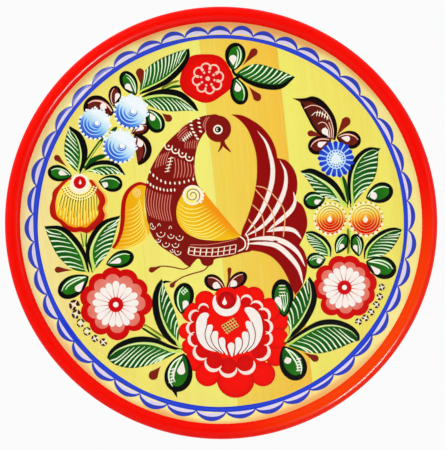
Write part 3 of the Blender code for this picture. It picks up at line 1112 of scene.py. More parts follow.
def button(paint, center, radius, eye, glow):
    """Round blue flower built of nested brush arcs, with a toothed edge."""
    paint.disc(center, circle(center, radius, 44), "sky_ramp", 3,
               lambda share, p: glow + ((p[0] - center[0]) * 0.4 + (p[1] - center[1]) * 0.6)
               / radius, rings=(0.25, 0.5, 0.75, 1.0), crown=0.05)
    for share in (0.88, 0.66, 0.44):
        bold = sweep(center, radius * share, 146, 14, 12)
        paint.stroke(bold, 0.185 * radius, "blue", 4, crescent_profile,
                     lambda t, s: 0.7 - 2.4 * t * (1 - t), step=0.7)
        light = sweep(center, radius * (share - 0.1), 110, 15, 17)
        paint.stroke(light, 0.045 * radius, "sky", 5, crescent_profile, 0.8, step=0.7)
    for i in range(22):
        angle = 360 * i / 22
        dark = 150 < angle < 310
        paint.stroke([polar(center, radius * 0.97, angle),
                      polar(center, radius * (1.12 if dark else 1.08), angle + 3)], 1.35,
                     "blue" if dark else "white_blue", 5, step=0.5)
        if dark or i % 2:
            paint.dot(polar(center, radius * 1.08, angle + 8), 0.9, "white_blue", 4, 0.6)
    paint.dot(eye, 0.16 * radius, "white", 6, 0.8)
    for k, size in enumerate((0.29, 0.17)):
        points = [polar(eye, radius * size, 190 + a - 60 * k) for a in (0, 50, 100, 150, 190)]
        paint.stroke(points, 0.075 * radius, "blue", 7, crescent_profile, 0.3 * k, step=0.5)


def paint_top_flower():
    """Red flower at the top, with a ring of outlined lobes."""
    paint = Painting("top_flower")
    outline = []
    for i in range(60):
        a = radians(6 * i)
        reach = 1 + 0.035 * cos(5 * a + 1.2) + 0.02 * cos(3 * a)
        outline.append((-10.6 + 18.6 * reach * cos(a), 101.2 + 17.0 * reach * sin(a)))
    paint.disc((-10.6, 101.2), outline, "red", 1, lambda share, p: 0.9 * share ** 2)
    center = (-9.3, 100.6)
    for i in range(8):
        angle = 100 - 45 * i
        middle = polar(center, 7.4, angle)
        paint.dot(middle, 3.1, "deep_red", 2)
        paint.stroke(sweep(middle, 3.3 + 0.2 * sin(i), angle - 128, 32, 9), 1.15, "pink", 4,
                     step=0.6)
        paint.dot(polar(center, 4.8, angle + 22), 0.85, "pink", 5)
    paint.dot(center, 4.4, "deep_red", 2)
    paint.dot(center, 1.6, "pink", 5)
    paint.build()


def paint_top_right_leaves():
    """Leaf, buds and drops right of the top flower."""
    paint = Painting("top_right_leaves")
    leaf(paint, (9.8, 103.6), (51.6, 101.6), [(18.6, 97.2), (29.6, 93.4), (42.2, 93.6)],
         [(16.4, 108.6), (25.0, 110.8), (34.6, 108.6), (45.0, 104.8)], veins=9, black=3.6,
         lime=0, width=1.25)
    paint.stroke([(7.4, 107.6), (9.6, 103.8), (13.6, 101.2)], 1.9, "black", 2, step=0.6)
    paint.stroke([(7.0, 98.6), (9.8, 100.6), (13.6, 101.6)], 1.7, "black", 2, step=0.6)
    bud(paint, (8.6, 106.0), (10.8, 125.6), 14.4, (8.2, 115.4), 4.6, arcs=2, side=-1)
    bud(paint, (9.6, 101.4), (14.8, 82.6), 12.4, (11.8, 93.0), 4.2)
    drop(paint, (14.4, 109.0), (24.6, 121.2), 4.8, "brown")
    drop(paint, (19.0, 95.4), (27.0, 85.4), 5.2, "brown")
    paint.build()


def paint_top_left_leaves():
    """Leaves, buds and drops left of the top flower."""
    paint = Painting("top_left_leaves")
    leaf(paint, (-56.8, 89.4), (-22.2, 121.6), [(-47.0, 92.6), (-36.0, 97.8), (-26.6, 106.8),
                                              (-22.0, 115.4)],
         [(-56.2, 97.6), (-53.0, 106.2), (-45.0, 113.0), (-32.6, 118.6)], veins=12, black=3.8,
         lime=1.3, width=1.1)
    leaf(paint, (-55.4, 88.2), (-15.6, 78.0), [(-48.6, 91.6), (-38.6, 93.4), (-28.0, 91.6),
                                             (-19.0, 84.2)],
         [(-53.4, 84.8), (-46.4, 79.8), (-36.0, 77.8), (-24.6, 78.2)], veins=10, black=4.2,
         lime=1.9, width=1.05)
    bud(paint, (-59.3, 89.0), (-68.6, 105.4), 11.6, (-65.4, 95.4), 3.6, arcs=2, side=-1)
    bud(paint, (-51.0, 79.2), (-42.0, 63.4), 12.6, (-47.4, 72.6), 3.6)
    drop(paint, (-55.6, 94.6), (-56.8, 107.8), 5.4, "brown")
    drop(paint, (-41.6, 76.6), (-34.6, 71.4), 4.8, "brown")
    paint.stroke([(-42.0, 93.4), (-35.0, 97.4), (-29.0, 99.2)], 1.7, "olive", 1)
    paint.stroke([(-41.0, 93.2), (-34.0, 94.8), (-27.4, 95.4)], 2.0, "green", 1)
    paint.stroke([(-40.0, 93.6), (-34.0, 96.0), (-28.4, 97.2)], 0.7, "lime", 2)
    paint.build()


def paint_blue_flowers():
    """Three blue button flowers with brown buds."""
    paint = Painting("blue_buttons")
    for center, radius, eye, glow in (((-62.6, 77.6), 10.9, (-61.6, 77.6), 0.74),
                                      ((-87.9, 69.4), 10.2, (-86.8, 69.4), 0.56),
                                      ((-70.4, 53.6), 10.7, (-69.4, 53.6), 0.74)):
        button(paint, center, radius, eye, glow)
    bud(paint, (-74.6, 76.6), (-95.8, 82.4), 18.0, (-83.0, 82.0), 4.4, brown=True, side=-1,
        level=1, out=0.3, tail=0.4)
    bud(paint, (-75.0, 80.8), (-73.4, 95.6), 9.0, (-72.2, 89.0), 3.0, brown=True)
    bud(paint, (-62.6, 62.4), (-50.2, 67.8), 8.4, (-55.4, 66.2), 2.8, brown=True, level=1)
    paint.stroke([(-61.0, 61.0), (-56.2, 57.4), (-54.0, 51.2), (-55.0, 45.6), (-57.6, 40.2)],
                 11.4, "dark_brown", 2, crescent_profile)
    paint.stroke([(-60.6, 58.8), (-57.4, 55.6), (-56.3, 50.6), (-56.6, 46.0), (-57.8, 42.4)],
                 5.4, "brown_fill", 3, crescent_profile, 1.0)
    drop(paint, (-58.2, 59.4), (-56.0, 53.0), 4.0, "white", 5, bend=0.05)
    paint.stroke([(-59.4, 60.2), (-54.4, 56.4), (-52.6, 51.0), (-54.2, 45.0)], 0.55, "pink", 5,
                 crescent_profile)
    paint.stroke([(-78.0, 62.0), (-72.4, 67.0)], 2.6, "green", 2)
    paint.build()


# -------- motifs, bird

BIRD_OUTER = [(-1.6, 74.6), (-8.4, 75.3), (-15.5, 73.5), (-23.5, 69.0), (-31.0, 62.6),
              (-38.5, 55.2), (-45.0, 45.6), (-50.0, 35.6), (-52.6, 24.5), (-53.2, 15.5), (-52.2, 7.0),
              (-51.2, -0.8), (-48.9, -7.2), (-46.0, -12.2), (-41.8, -16.6), (-35.2, -21.0),
              (-28.6, -25.4)]
NECK_INNER = [(-13.0, 22.5), (-15.8, 26.0), (-17.6, 31.0), (-18.5, 40.0), (-17.6, 49.0),
              (-15.4, 56.6), (-10.9, 63.6), (-8.0, 66.0), (-3.0, 66.0)]


def paint_bird_body():
    """Body, head, beak, eye and legs of the bird."""
    paint = Painting("bird_body")
    legs = [(-25.4, -28.6), (-22.0, -30.2), (-19.2, -27.6), (-15.6, -25.0), (-13.2, -28.8),
            (-9.6, -30.2), (-5.9, -28.8), (-4.5, -25.4)]
    belly = [(5.5, -23.7), (14.5, -21.0), (22.0, -18.6), (20.0, -13.0), (14.6, -9.6),
             (4.0, 1.0), (-11.0, 19.0)]
    outline = curve_through([*BIRD_OUTER, *legs, *belly, *NECK_INNER], 1.2, closed=True)
    paint.patch(outline, "maroon", 1, 0.2)
    head = (-2.0, 65.6)
    paint.dot(head, 9.0, "maroon", 2, 0.1, squeeze=1.03)
    paint.stroke([(0.2, 59.6), (0.6, 55.2), (-0.2, 52.4), (-2.4, 49.2)], 3.0, "maroon", 3,
                 whip_profile)
    paint.stroke([(0.6, 59.6), (1.4, 55.6), (3.4, 52.8), (7.0, 49.2)], 3.6, "maroon", 3,
                 whip_profile)
    eye = (-2.2, 65.1)
    paint.dot(eye, 3.3, "cream", 4)
    paint.dot(eye, 2.2, "black", 5, 0.4)
    paint.stroke([polar(eye, 1.0, a) for a in (70, 120, 170, 220, 290)], 0.6, "cream", 6,
                 step=0.4)
    for points in (((-20.6, -29.6), (-26.0, -32.2), (-34.0, -30.8), (-42.0, -30.2),
                    (-49.0, -32.4)),
                   ((-8.4, -29.6), (-12.0, -33.0), (-20.0, -35.4), (-28.0, -38.4),
                    (-34.2, -43.4))):
        paint.stroke(points, 0.85, "brown", 2)
    drop(paint, (-41.0, -30.2), (-50.4, -33.4), 3.6, "brown")
    drop(paint, (-31.0, -39.4), (-35.2, -45.0), 3.2, "brown")
    paint.build()


def paint_bird_lines():
    """White and pink drawing over the bird's breast and neck."""
    paint = Painting("bird_plumage")
    for column, many in (([(-15.8, 72.8), (-15.5, 69.9), (-14.3, 63.8)], 4),
                         ([(-21.2, 70.8), (-20.2, 65.6), (-16.4, 58.7)], 6)):
        for i, place in enumerate(resample(curve_through(column), many)):
            paint.dot(place, 1.2, "cream", 3, squeeze=0.55, turn=-8 - 4 * i)
    paint.stroke([(-9.8, 74.0), (-12.2, 69.8), (-12.4, 66.0)], 0.5, "rose", 3)
    paint.stroke([(-8.2, 74.2), (-10.6, 70.4), (-11.2, 66.0), (-10.2, 62.8)], 0.6, "rose", 4)
    # Fine lines and a short ladder on the upper neck
    for start, end in (((-30.0, 62.6), (-24.2, 68.8)), ((-30.8, 60.4), (-23.8, 67.0)),
                       ((-30.2, 58.6), (-23.4, 65.4)), ((-29.2, 57.2), (-22.8, 63.8))):
        middle = lerp(start, end, 0.5)
        paint.stroke([start, (middle[0] - 0.3, middle[1] + 0.5), end], 0.55, "rose", 3)
    for i in range(5):
        x, z = -26.2 + 1.25 * i, 57.9 + 1.1 * i
        paint.stroke([(x - 0.9, z + 1.6), (x + 0.9, z - 1.6)], 0.68, "cream", 4, step=0.6)
    paint.stroke([(-27.2, 57.0), (-20.6, 62.8)], 0.5, "cream", 4)
    for i in range(6):
        x = -25.4 + 1.6 * i
        paint.stroke([(x + 0.9, 56.8 + 0.3 * i), (x + 0.2, 54.2), (x + 0.4, 51.8 - 0.1 * i)],
                     0.5, "rose", 3)
    # Four open scallops with a dot in each
    for i in range(4):
        x, z = -36.6 + 4.8 * i, 52.8 - 2.6 * i
        arc_points = [(x - 2.6, z + 2.6), (x - 2.2, z - 0.4), (x, z - 1.8), (x + 2.2, z - 0.8),
                      (x + 2.6, z + 1.4)]
        paint.stroke(arc_points, 0.85, "cream", 4)
        paint.dot((x, z + 0.9), 0.65, "cream", 4)
    # Long lines of the breast, a ladder among them
    for i in range(5):
        x, z = -43.0 + 1.8 * i, 47.4 + 0.7 * i
        paint.stroke([(x, z), (x - 1.9, z - 4.2), (x - 3.0, z - 9.4)], 0.55, "rose", 3)
    for i in range(7):
        x = -32.6 + 2.2 * i
        top = 45.8 - 0.85 * i
        paint.stroke([(x + 0.2, top), (x + 0.9, (top + 30.6) / 2), (x - 0.3, 31.0 + 0.15 * i)],
                     0.6, "rose", 3)
    for i in range(5):
        x, z = -35.0 - 0.65 * i, 45.2 - 2.3 * i
        paint.stroke([(x - 2.0, z - 0.5), (x + 2.0, z + 0.3)], 0.62, "cream", 4, step=0.6)
    paint.stroke([(-34.8, 46.4), (-35.9, 41.0), (-37.6, 35.4)], 0.5, "cream", 4)
    # Two rows of drops across the breast
    for row, many in (([(-49.6, 35.5), (-45.1, 31.4), (-38.9, 28.2), (-29.0, 27.9),
                        (-19.4, 30.4)], 11),
                      ([(-51.2, 28.4), (-46.5, 25.0), (-38.4, 22.8), (-32.4, 23.0)], 9)):
        for i, (x, z) in enumerate(resample(curve_through(row), many)):
            paint.dot((x, z), 1.15 + 0.1 * sin(i * 2), "cream", 3, squeeze=0.5, turn=96)
    for i in range(10):
        u = i / 9
        top = (-51.4 + 16.6 * u, 24.4 - 4.6 * sin(pi * u * 0.55))
        foot = (-49.8 + 15.4 * u, 4.6 - 3.6 * sin(pi * u * 0.6))
        paint.stroke([top, (lerp(top, foot, 0.5)[0] - 1.9 + 0.5 * u, lerp(top, foot, 0.5)[1]),
                      foot], 0.6, "rose", 3)
    # Scales low on the breast
    for x, z, size in ((-47.4, -2.8, 1.7), (-42.0, -7.0, 2.9), (-35.0, -8.6, 2.2),
                       (-29.0, -9.6, 2.5), (-43.8, -11.8, 1.8), (-38.5, -14.4, 2.5),
                       (-31.8, -14.8, 2.4), (-34.0, -19.0, 1.6), (-30.2, -20.2, 2.2)):
        paint.stroke([polar((x, z), size, a) for a in (175, 215, 255, 295, 335, 370)], 0.5,
                     "cream", 3, step=0.6)
        paint.dot((x + 0.1, z + 0.3), 0.5, "cream", 3)
    for x, z in ((-48.6, -0.2), (-43.2, -0.4), (-35.4, -2.2)):
        paint.stroke([(x - 1.1, z - 2.2), (x, z), (x + 1.0, z - 2.0)], 0.45, "cream", 3)
    # Ladder along the belly
    upper = resample(curve_through([(-22.2, -16.7), (-14.5, -17.5), (-3.0, -17.3),
                                    (10.5, -15.0)]), 9)
    lower = resample(curve_through([(-23.0, -21.9), (-15.0, -23.0), (-4.0, -23.2),
                                    (9.8, -21.2)]), 9)
    paint.stroke([(-21.8, -15.2), (-9.0, -15.2), (4.4, -12.9), (11.6, -11.0)], 0.45, "rose", 3)
    paint.stroke(upper, 0.6, "pink", 3)
    paint.stroke(lower, 0.6, "pink", 3)
    paint.stroke([lerp(a, b, 0.5) for a, b in zip(upper, lower)], 0.6, "pink", 3)
    for i, (a, b) in enumerate(zip(upper, lower)):
        paint.stroke([a, b], 0.95 - 0.05 * i, "cream", 4, step=0.7)
    paint.build()


def paint_bird_wing():
    """Near wing, with nested arcs and a spiral at the shoulder."""
    paint = Painting("bird_wing")
    left = [(-27.4, 19.6), (-30.4, 13.0), (-31.2, 6.0), (-29.4, -1.0), (-23.4, -7.6),
            (-14.4, -11.2), (-2.0, -12.4), (7.4, -11.4), (13.6, -9.4)]
    right = [(-13.8, 24.0), (-8.0, 16.6), (2.6, 3.8), (13.6, -9.2)]
    paint.loft(left, right, "amber", 2, lambda t, s: 0.36 + 0.06 * t + 0.6 * s * s,
               wide=7, count=36)
    # Nested arcs that hang from the left edge
    rows = ([(-30.3, 14.2), (-31.0, 9.0), (-30.2, 4.0), (-27.0, -2.5), (-21.6, -8.4)],
            [(-24.6, 10.3), (-24.2, -0.6), (-14.6, -11.0)],
            [(-18.1, 9.6), (-16.4, -1.5), (-6.0, -11.0)],
            [(-11.0, 12.2), (-4.6, 6.0), (5.0, -4.4)])
    for points in zip(*(resample(curve_through(row), 10) for row in rows)):
        paint.stroke(points, 0.85, "pale_yellow", 3, crescent_profile)
    center = (-19.9, 19.2)
    paint.dot(center, 6.9, "pale_yellow", 4, 0.1)
    paint.stroke(sweep(center, 6.5, 330, 12, 33, 0.016), 1.6, "cream", 5,
                 lambda t, l, w: w * (1.1 - 0.3 * t), step=0.6)
    for reach, thick, color, level in ((5.4, 0.6, "brown_line", 5), (4.6, 1.0, "cream", 6)):
        paint.stroke(sweep(center, reach, 300, 28, 23, 0.19), thick, color, level, step=0.5)
    for i in range(4):
        paint.dot(polar(center, 7.3, 322 + i * 19), 1.0, "cream", 5)
    paint.build()


TAIL_LOBES = (
    ((7.0, 75.8), (14.5, 75.0), (21.0, 72.0), (28.6, 66.6), (34.8, 59.0), (38.1, 51.2),
     (39.3, 45.2)),
    ((39.3, 45.2), (45.6, 43.4), (51.0, 36.8), (53.1, 29.0), (52.6, 21.2), (50.8, 16.6)),
    ((50.8, 16.6), (56.5, 12.4), (59.6, 4.6), (60.0, -2.0), (58.0, -8.6), (54.6, -15.4)),
    ((54.6, -15.4), (58.0, -19.8), (60.0, -27.5), (59.2, -36.4), (57.0, -43.2),
     (51.8, -50.4)),
    ((51.8, -50.4), (49.2, -45.3), (45.9, -37.5), (41.4, -29.9), (35.3, -23.8),
     (28.7, -20.6), (20.0, -19.0)),
    ((20.0, -19.0), (14.6, -15.0), (14.2, -7.0), (18.6, 4.6), (22.0, 15.6), (24.4, 27.8),
     (25.0, 37.8), (24.4, 47.6), (22.0, 56.6), (18.2, 65.4), (13.2, 71.4), (7.0, 75.8)),
)


def paint_bird_tail():
    """Tail of lobes, with long white feathers and crossing lines."""
    paint = Painting("bird_tail")
    outline = []
    for lobe in TAIL_LOBES:
        outline += curve_through(lobe, 1.1)[:-1]
    paint.patch(outline, "tail", 3, 0.2)
    feathers = (
        (3.4, ((25.4, 64.0), (31.0, 56.6), (34.2, 47.7), (36.0, 38.0), (35.0, 26.6),
               (31.0, 14.5), (25.4, 3.5), (16.2, -9.0))),
        (3.4, ((41.0, 43.6), (44.8, 35.6), (44.8, 25.6), (41.4, 15.6), (35.3, 4.6),
               (27.6, -3.2), (16.8, -9.4))),
        (3.2, ((50.4, 21.6), (51.6, 15.6), (49.7, 10.1), (45.8, 5.7), (36.4, -2.1),
               (32.6, -5.4))),
        (3.2, ((31.6, -6.2), (42.0, -4.1), (50.8, -5.4), (56.2, -11.2))),
        (3.6, ((17.8, -12.0), (28.7, -10.7), (38.6, -11.5), (47.5, -15.4), (54.1, -21.6),
               (58.6, -30.4))),
        (3.6, ((17.8, -14.5), (28.7, -14.3), (38.6, -16.0), (47.5, -23.1), (54.1, -32.0),
               (57.2, -43.0))),
    )
    for width, points in feathers:
        paint.stroke(points, width, "blush", 5, crescent_profile, 0.9)
    for points in (((24.2, 25.8), (30.6, 24.2), (36.6, 19.2), (44.0, 8.4), (43.4, -10.0)),
                   ((23.4, 24.0), (31.8, 13.8), (36.8, 3.6), (36.4, -9.0)),
                   ((21.4, 13.0), (27.6, 6.8), (29.8, -1.0), (29.6, -9.8)),
                   ((18.8, 2.8), (23.4, -3.2), (24.2, -9.8))):
        paint.stroke(points, 0.75, "rose_gold", 6, tone=0.8)
    paint.stroke([(12.6, -9.0), (16.4, -12.4), (16.4, -17.0), (11.6, -20.0)], 0.9, "cream", 6)
    paint.stroke([(17.2, -7.4), (19.0, -11.6), (18.8, -16.0), (17.4, -19.2)], 0.9, "cream", 6)
    for i in range(4):
        x = 20.6 + 5.2 * i
        paint.stroke([(x, -12.6), (x + 1.8, -12.7), (x + 3.6, -13.0)], 1.0, "maroon", 7, step=0.6)
    paint.build()


# -------- motifs, below the bird

def hatch(paint, center, across, along, turn, many, level, color="cream", width=0.5):
    """Short parallel lines, centered, turned by degrees."""
    for i in range(many):
        offset = across * (i / (many - 1) - 0.5)
        middle = polar(center, offset, turn + 90)
        paint.stroke([polar(middle, along / 2, turn + 180), polar(middle, along / 2, turn)],
                     width, color, level, step=0.7)


def paint_big_rose():
    """Large red flower with a white fan and scalloped crescents, at the bottom."""
    paint = Painting("bottom_rose")
    paint.disc((7.6, -78.0), circle((7.6, -78.0), 30.0, 60), "red", 1)
    lobes = ((-11.0, -54.4, 7.2), (-20.6, -62.4, 6.9), (-24.0, -75.4, 5.8), (-22.0, -86.2, 5.6),
             (-17.2, -95.6, 8.0), (-9.4, -105.4, 8.6), (10.2, -108.6, 13.4), (29.2, -105.4, 8.6),
             (38.2, -92.6, 7.4), (39.4, -80.4, 7.4), (39.6, -68.6, 7.6), (33.6, -60.4, 8.2),
             (22.8, -51.8, 7.4), (14.4, -49.8, 6.4))
    for i, (x, z, size) in enumerate(lobes):
        outline = circle((x, z), size, 30)
        paint.disc((x, z), outline, "red", 1 + i % 2, lambda share, p: 0.9 * share ** 6,
                   rings=(0.6, 0.8, 0.9, 1.0))
    scales = ((-12.2, -60.2, 4.3, 98), (-17.6, -65.5, 5.3, 148), (-18.9, -73.5, 5.6, 178),
              (-17.3, -81.0, 6.1, 192), (-13.1, -89.4, 6.9, 218), (-5.0, -96.9, 7.2, 246),
              (4.9, -100.4, 7.5, 270), (17.1, -98.5, 7.5, 296), (27.5, -89.4, 7.2, 326),
              (30.2, -80.5, 5.9, 354), (30.2, -72.6, 6.1, 6), (28.9, -64.7, 5.9, 36),
              (24.3, -59.3, 5.4, 62), (17.6, -54.7, 4.8, 82))
    for x, z, size, facing in scales:
        center = (x, z)
        thick = 0.34 * size + 0.1
        paint.dot(center, size - 0.4 * thick, "red", 3, lambda share, p: 0.7 + 0.25 * share)
        paint.stroke(sweep(center, size - thick / 2, facing - 88, 22, 9), thick, "blush", 4,
                     crescent_profile, 0.5, step=0.7)
    paint.disc((6.4, -74.0), circle((6.4, -74.0), 18.5, 48), "red", 2, 0.1)
    fan = (
        (7.2, ((-2.6, -89.6), (-9.6, -86.2), (-13.6, -80.0), (-14.0, -72.0), (-12.4, -66.0),
               (-8.8, -63.4))),
        (5.8, ((-0.4, -90.4), (-6.2, -85.8), (-9.2, -80.0), (-8.9, -74.6), (-6.2, -71.2))),
        (5.5, ((1.4, -91.2), (-2.8, -86.6), (-4.9, -81.4), (-4.4, -78.0), (-2.6, -75.8))),
        (5.2, ((4.6, -92.2), (1.2, -87.4), (0.4, -83.2), (1.2, -79.8))),
        (5.0, ((7.7, -93.4), (7.2, -88.2), (6.9, -83.4))),
        (5.0, ((9.6, -92.4), (11.8, -87.4), (12.2, -83.4), (11.4, -79.8))),
        (5.5, ((12.6, -91.4), (16.6, -86.2), (17.6, -80.6), (15.6, -75.8))),
        (6.0, ((15.4, -90.8), (20.0, -85.2), (21.6, -78.6), (20.6, -72.8), (17.6, -68.6))),
        (7.4, ((18.6, -89.8), (23.6, -84.4), (26.0, -77.0), (25.0, -69.0), (21.4, -62.8),
               (16.6, -59.6))),
    )
    for i, (width, points) in enumerate(fan):
        paint.stroke(points, width, "white", 7 + i % 2, plume_profile, 0.2, step=0.7)
    gaps = (
        ((-1.4, -90.4), (-8.4, -85.6), (-11.2, -78.0), (-9.6, -70.6)),
        ((0.8, -91.0), (-4.8, -85.8), (-7.2, -79.6), (-5.6, -74.6)),
        ((3.2, -91.8), (-0.8, -86.6), (-2.2, -81.0)),
        ((6.4, -92.6), (4.2, -87.4), (3.6, -82.6)),
        ((8.4, -92.8), (9.6, -87.4), (9.6, -82.6)),
        ((11.0, -92.0), (14.4, -86.6), (14.8, -80.6)),
        ((14.0, -91.2), (18.6, -85.6), (19.6, -78.6), (18.0, -73.4)),
        ((17.0, -90.4), (22.6, -84.0), (23.8, -76.6), (21.4, -68.8)),
    )
    for points in gaps:
        paint.stroke(points, 0.6, "maroon", 10)
    for width, color, level in ((1.2, "maroon", 5), (0.5, "rose_gold", 7)):
        hatch(paint, (6.2, -71.8), 6.0, 11.0, 29, 4, level, color, width)
        hatch(paint, (6.2, -71.8), 9.4, 7.4, -50, 6, level + 1, color, width)
    eye = (3.8, -54.0)
    paint.dot(eye, 9.4, "red", 6, 0.2)
    paint.stroke(sweep((3.7, -54.2), 8.4, 150, 16, 16), 4.9, "white", 8, crescent_profile, 0.2)
    paint.dot(eye, 6.0, "deep_red", 9, lambda share, p: 0.1 + 0.7 * share ** 3)
    drop(paint, (2.4, -51.6), (2.4, -57.2), 3.0, "white", 10)
    bud(paint, (2.8, -46.4), (-11.2, -38.0), 10.8, (-4.4, -43.2), 4.4, brown=True, side=-1)
    bud(paint, (4.0, -46.4), (17.4, -35.2), 10.0, (9.6, -41.6), 4.2, brown=True)
    drop(paint, (2.8, -47.4), (5.9, -31.0), 2.6, "brown", 2, bend=-0.06)
    paint.build()


def paint_bottom_left_leaves():
    """Leaves and buds left of the big rose."""
    paint = Painting("bottom_left_leaves")
    leaf(paint, (-25.9, -87.8), (-41.4, -38.9),
         [(-35.4, -83.6), (-42.6, -75.6), (-47.0, -64.6), (-47.9, -52.6), (-45.2, -43.8)],
         [(-29.6, -84.0), (-29.4, -76.6), (-31.4, -64.6), (-35.2, -54.2), (-38.8, -46.2)],
         black=4.6, lime=1.9)
    paint.stroke([(-41.6, -44.0), (-39.6, -41.2), (-34.4, -41.2)], 2.4, "black", 3, whip_profile)
    leaf(paint, (-26.2, -88.2), (-79.6, -94.0),
         [(-35.6, -85.0), (-47.0, -80.0), (-59.4, -79.4), (-71.4, -83.6), (-77.8, -89.4)],
         [(-38.6, -94.6), (-51.0, -99.4), (-63.4, -101.2), (-74.6, -98.6)],
         veins=11, black=4.0, lime=2.4, slant=1.3)
    bud(paint, (-27.6, -63.6), (-24.8, -41.8), 14.2, (-24.6, -55.6), 3.9)
    hatch(paint, (-25.6, -47.8), 3.4, 3.8, 130, 3, 6, "vein", 0.6)
    hatch(paint, (-25.6, -47.8), 1.8, 5.0, 42, 2, 6, "vein", 0.5)
    bud(paint, (-25.8, -91.0), (-32.6, -117.6), 19.4, (-27.9, -103.6), 5.0, arcs=2, side=-1,
        tail=0.6, out=0.36)
    paint.stroke([(-34.0, -110.0), (-32.6, -116.0), (-30.6, -122.0)], 7.6, "black", 2,
                 lambda t, l, w: w * (1 - t))
    for i in range(5):
        x, z = -33.4 - 0.35 * i, -101.8 - 2.3 * i
        paint.stroke([(x - 1.9, z - 0.5), (x + 1.9, z + 0.5)], 0.8, "white", 6, step=0.7)
    paint.stroke([(-33.4, -100.6), (-34.8, -112.0)], 0.5, "white", 6)
    drop(paint, (-41.8, -99.6), (-49.4, -108.8), 6.0, "brown")
    paint.build()


def paint_bottom_right_leaves():
    """Leaves and buds right of the big rose."""
    paint = Painting("bottom_right_leaves")
    leaf(paint, (43.6, -84.2), (61.8, -37.4),
         [(56.6, -73.6), (63.6, -63.2), (66.8, -53.2), (65.4, -43.4)],
         [(47.4, -76.0), (46.4, -67.0), (50.4, -53.4), (56.6, -44.6)],
         black=4.2, lime=1.6)
    leaf(paint, (43.8, -84.4), (96.4, -82.0),
         [(56.8, -74.4), (68.4, -68.2), (80.0, -67.4), (91.0, -71.6), (96.4, -77.6)],
         [(53.8, -88.6), (68.4, -91.0), (81.8, -87.6), (90.4, -83.8)],
         veins=11, black=3.8, lime=1.8)
    bud(paint, (44.2, -65.8), (41.8, -39.2), 15.4, (39.6, -53.8), 3.8, arcs=0)
    hatch(paint, (42.6, -47.2), 7.0, 5.0, 2, 4, 6, width=0.7)
    for i in range(4):
        paint.stroke([(43.8, -62.0), (42.0 + 1.4 * i, -55.0), (40.8 + 1.7 * i, -49.6 + 0.4 * i)],
                     0.5, "vein", 5)
    bud(paint, (43.2, -86.0), (55.6, -109.0), 18.4, (46.8, -97.0), 4.6, arcs=2, tail=0.35)
    for i in range(5):
        z = -94.8 - 2.0 * i
        paint.stroke([(52.2, z - 0.3), (55.8, z + 0.3)], 1.0, "white", 6, step=0.7)
    drop(paint, (56.8, -90.0), (67.8, -95.6), 4.6, "brown")
    paint.build()


# -------- motifs, right side

def paint_right_rose():
    """Rose at the lower right, with its row of curls."""
    paint = Painting("right_rose")
    center = (86.0, -45.0)
    lobes = (105, 75, 44, 12, -20, -52, -86, -127, -178, 147)
    rose(paint, center, lobes, 15.0, 7.6, 5.0, 14.8, 16, 4.9, turn=4)
    curls = ((111.9, -44.8), (110.6, -51.4), (108.2, -57.0), (104.6, -62.2), (100.6, -66.2),
             (95.8, -68.8))
    for i, place in enumerate(curls):
        curl(paint, place, 2.6, -170 + i * 12, 1.7, 0.6)
    paint.build()


def paint_right_lower_leaves():
    """Leaves and buds above the right rose."""
    paint = Painting("right_leaves_lower")
    leaf(paint, (76.6, -23.6), (59.0, -6.2), [(76.8, -17.0), (73.4, -11.0), (68.0, -7.2),
                                            (63.6, -5.6)],
         [(69.4, -22.2), (64.6, -17.8), (60.4, -12.4)], black=2.4, lime=1.7,
         width=0.9)
    leaf(paint, (99.4, -25.2), (126.0, -4.6), [(100.2, -17.0), (106.0, -9.6), (114.0, -4.6),
                                             (121.2, -3.2)],
         [(111.4, -23.2), (118.4, -18.8), (124.0, -10.4)], veins=9, black=2.6, lime=1.5,
         width=1.0)
    bud(paint, (80.4, -21.4), (87.4, -7.8), 9.6, (84.4, -15.8), 2.8, arcs=2)
    bud(paint, (96.0, -23.4), (93.6, -7.6), 9.8, (93.4, -16.6), 2.8, arcs=2, side=-1)
    bud(paint, (73.0, -25.0), (59.8, -27.4), 11.4, (67.6, -26.8), 3.2, arcs=2, side=-1)
    bud(paint, (101.0, -27.0), (121.8, -34.4), 15.6, (109.0, -34.0), 3.8, arcs=2)
    paint.stroke([(88.4, -3.4), (88.8, -12.0), (88.4, -22.0)], 1.8, "olive", 1)
    paint.stroke([(89.8, -3.4), (90.2, -12.0), (89.8, -22.0)], 1.2, "lime", 1)
    paint.build()


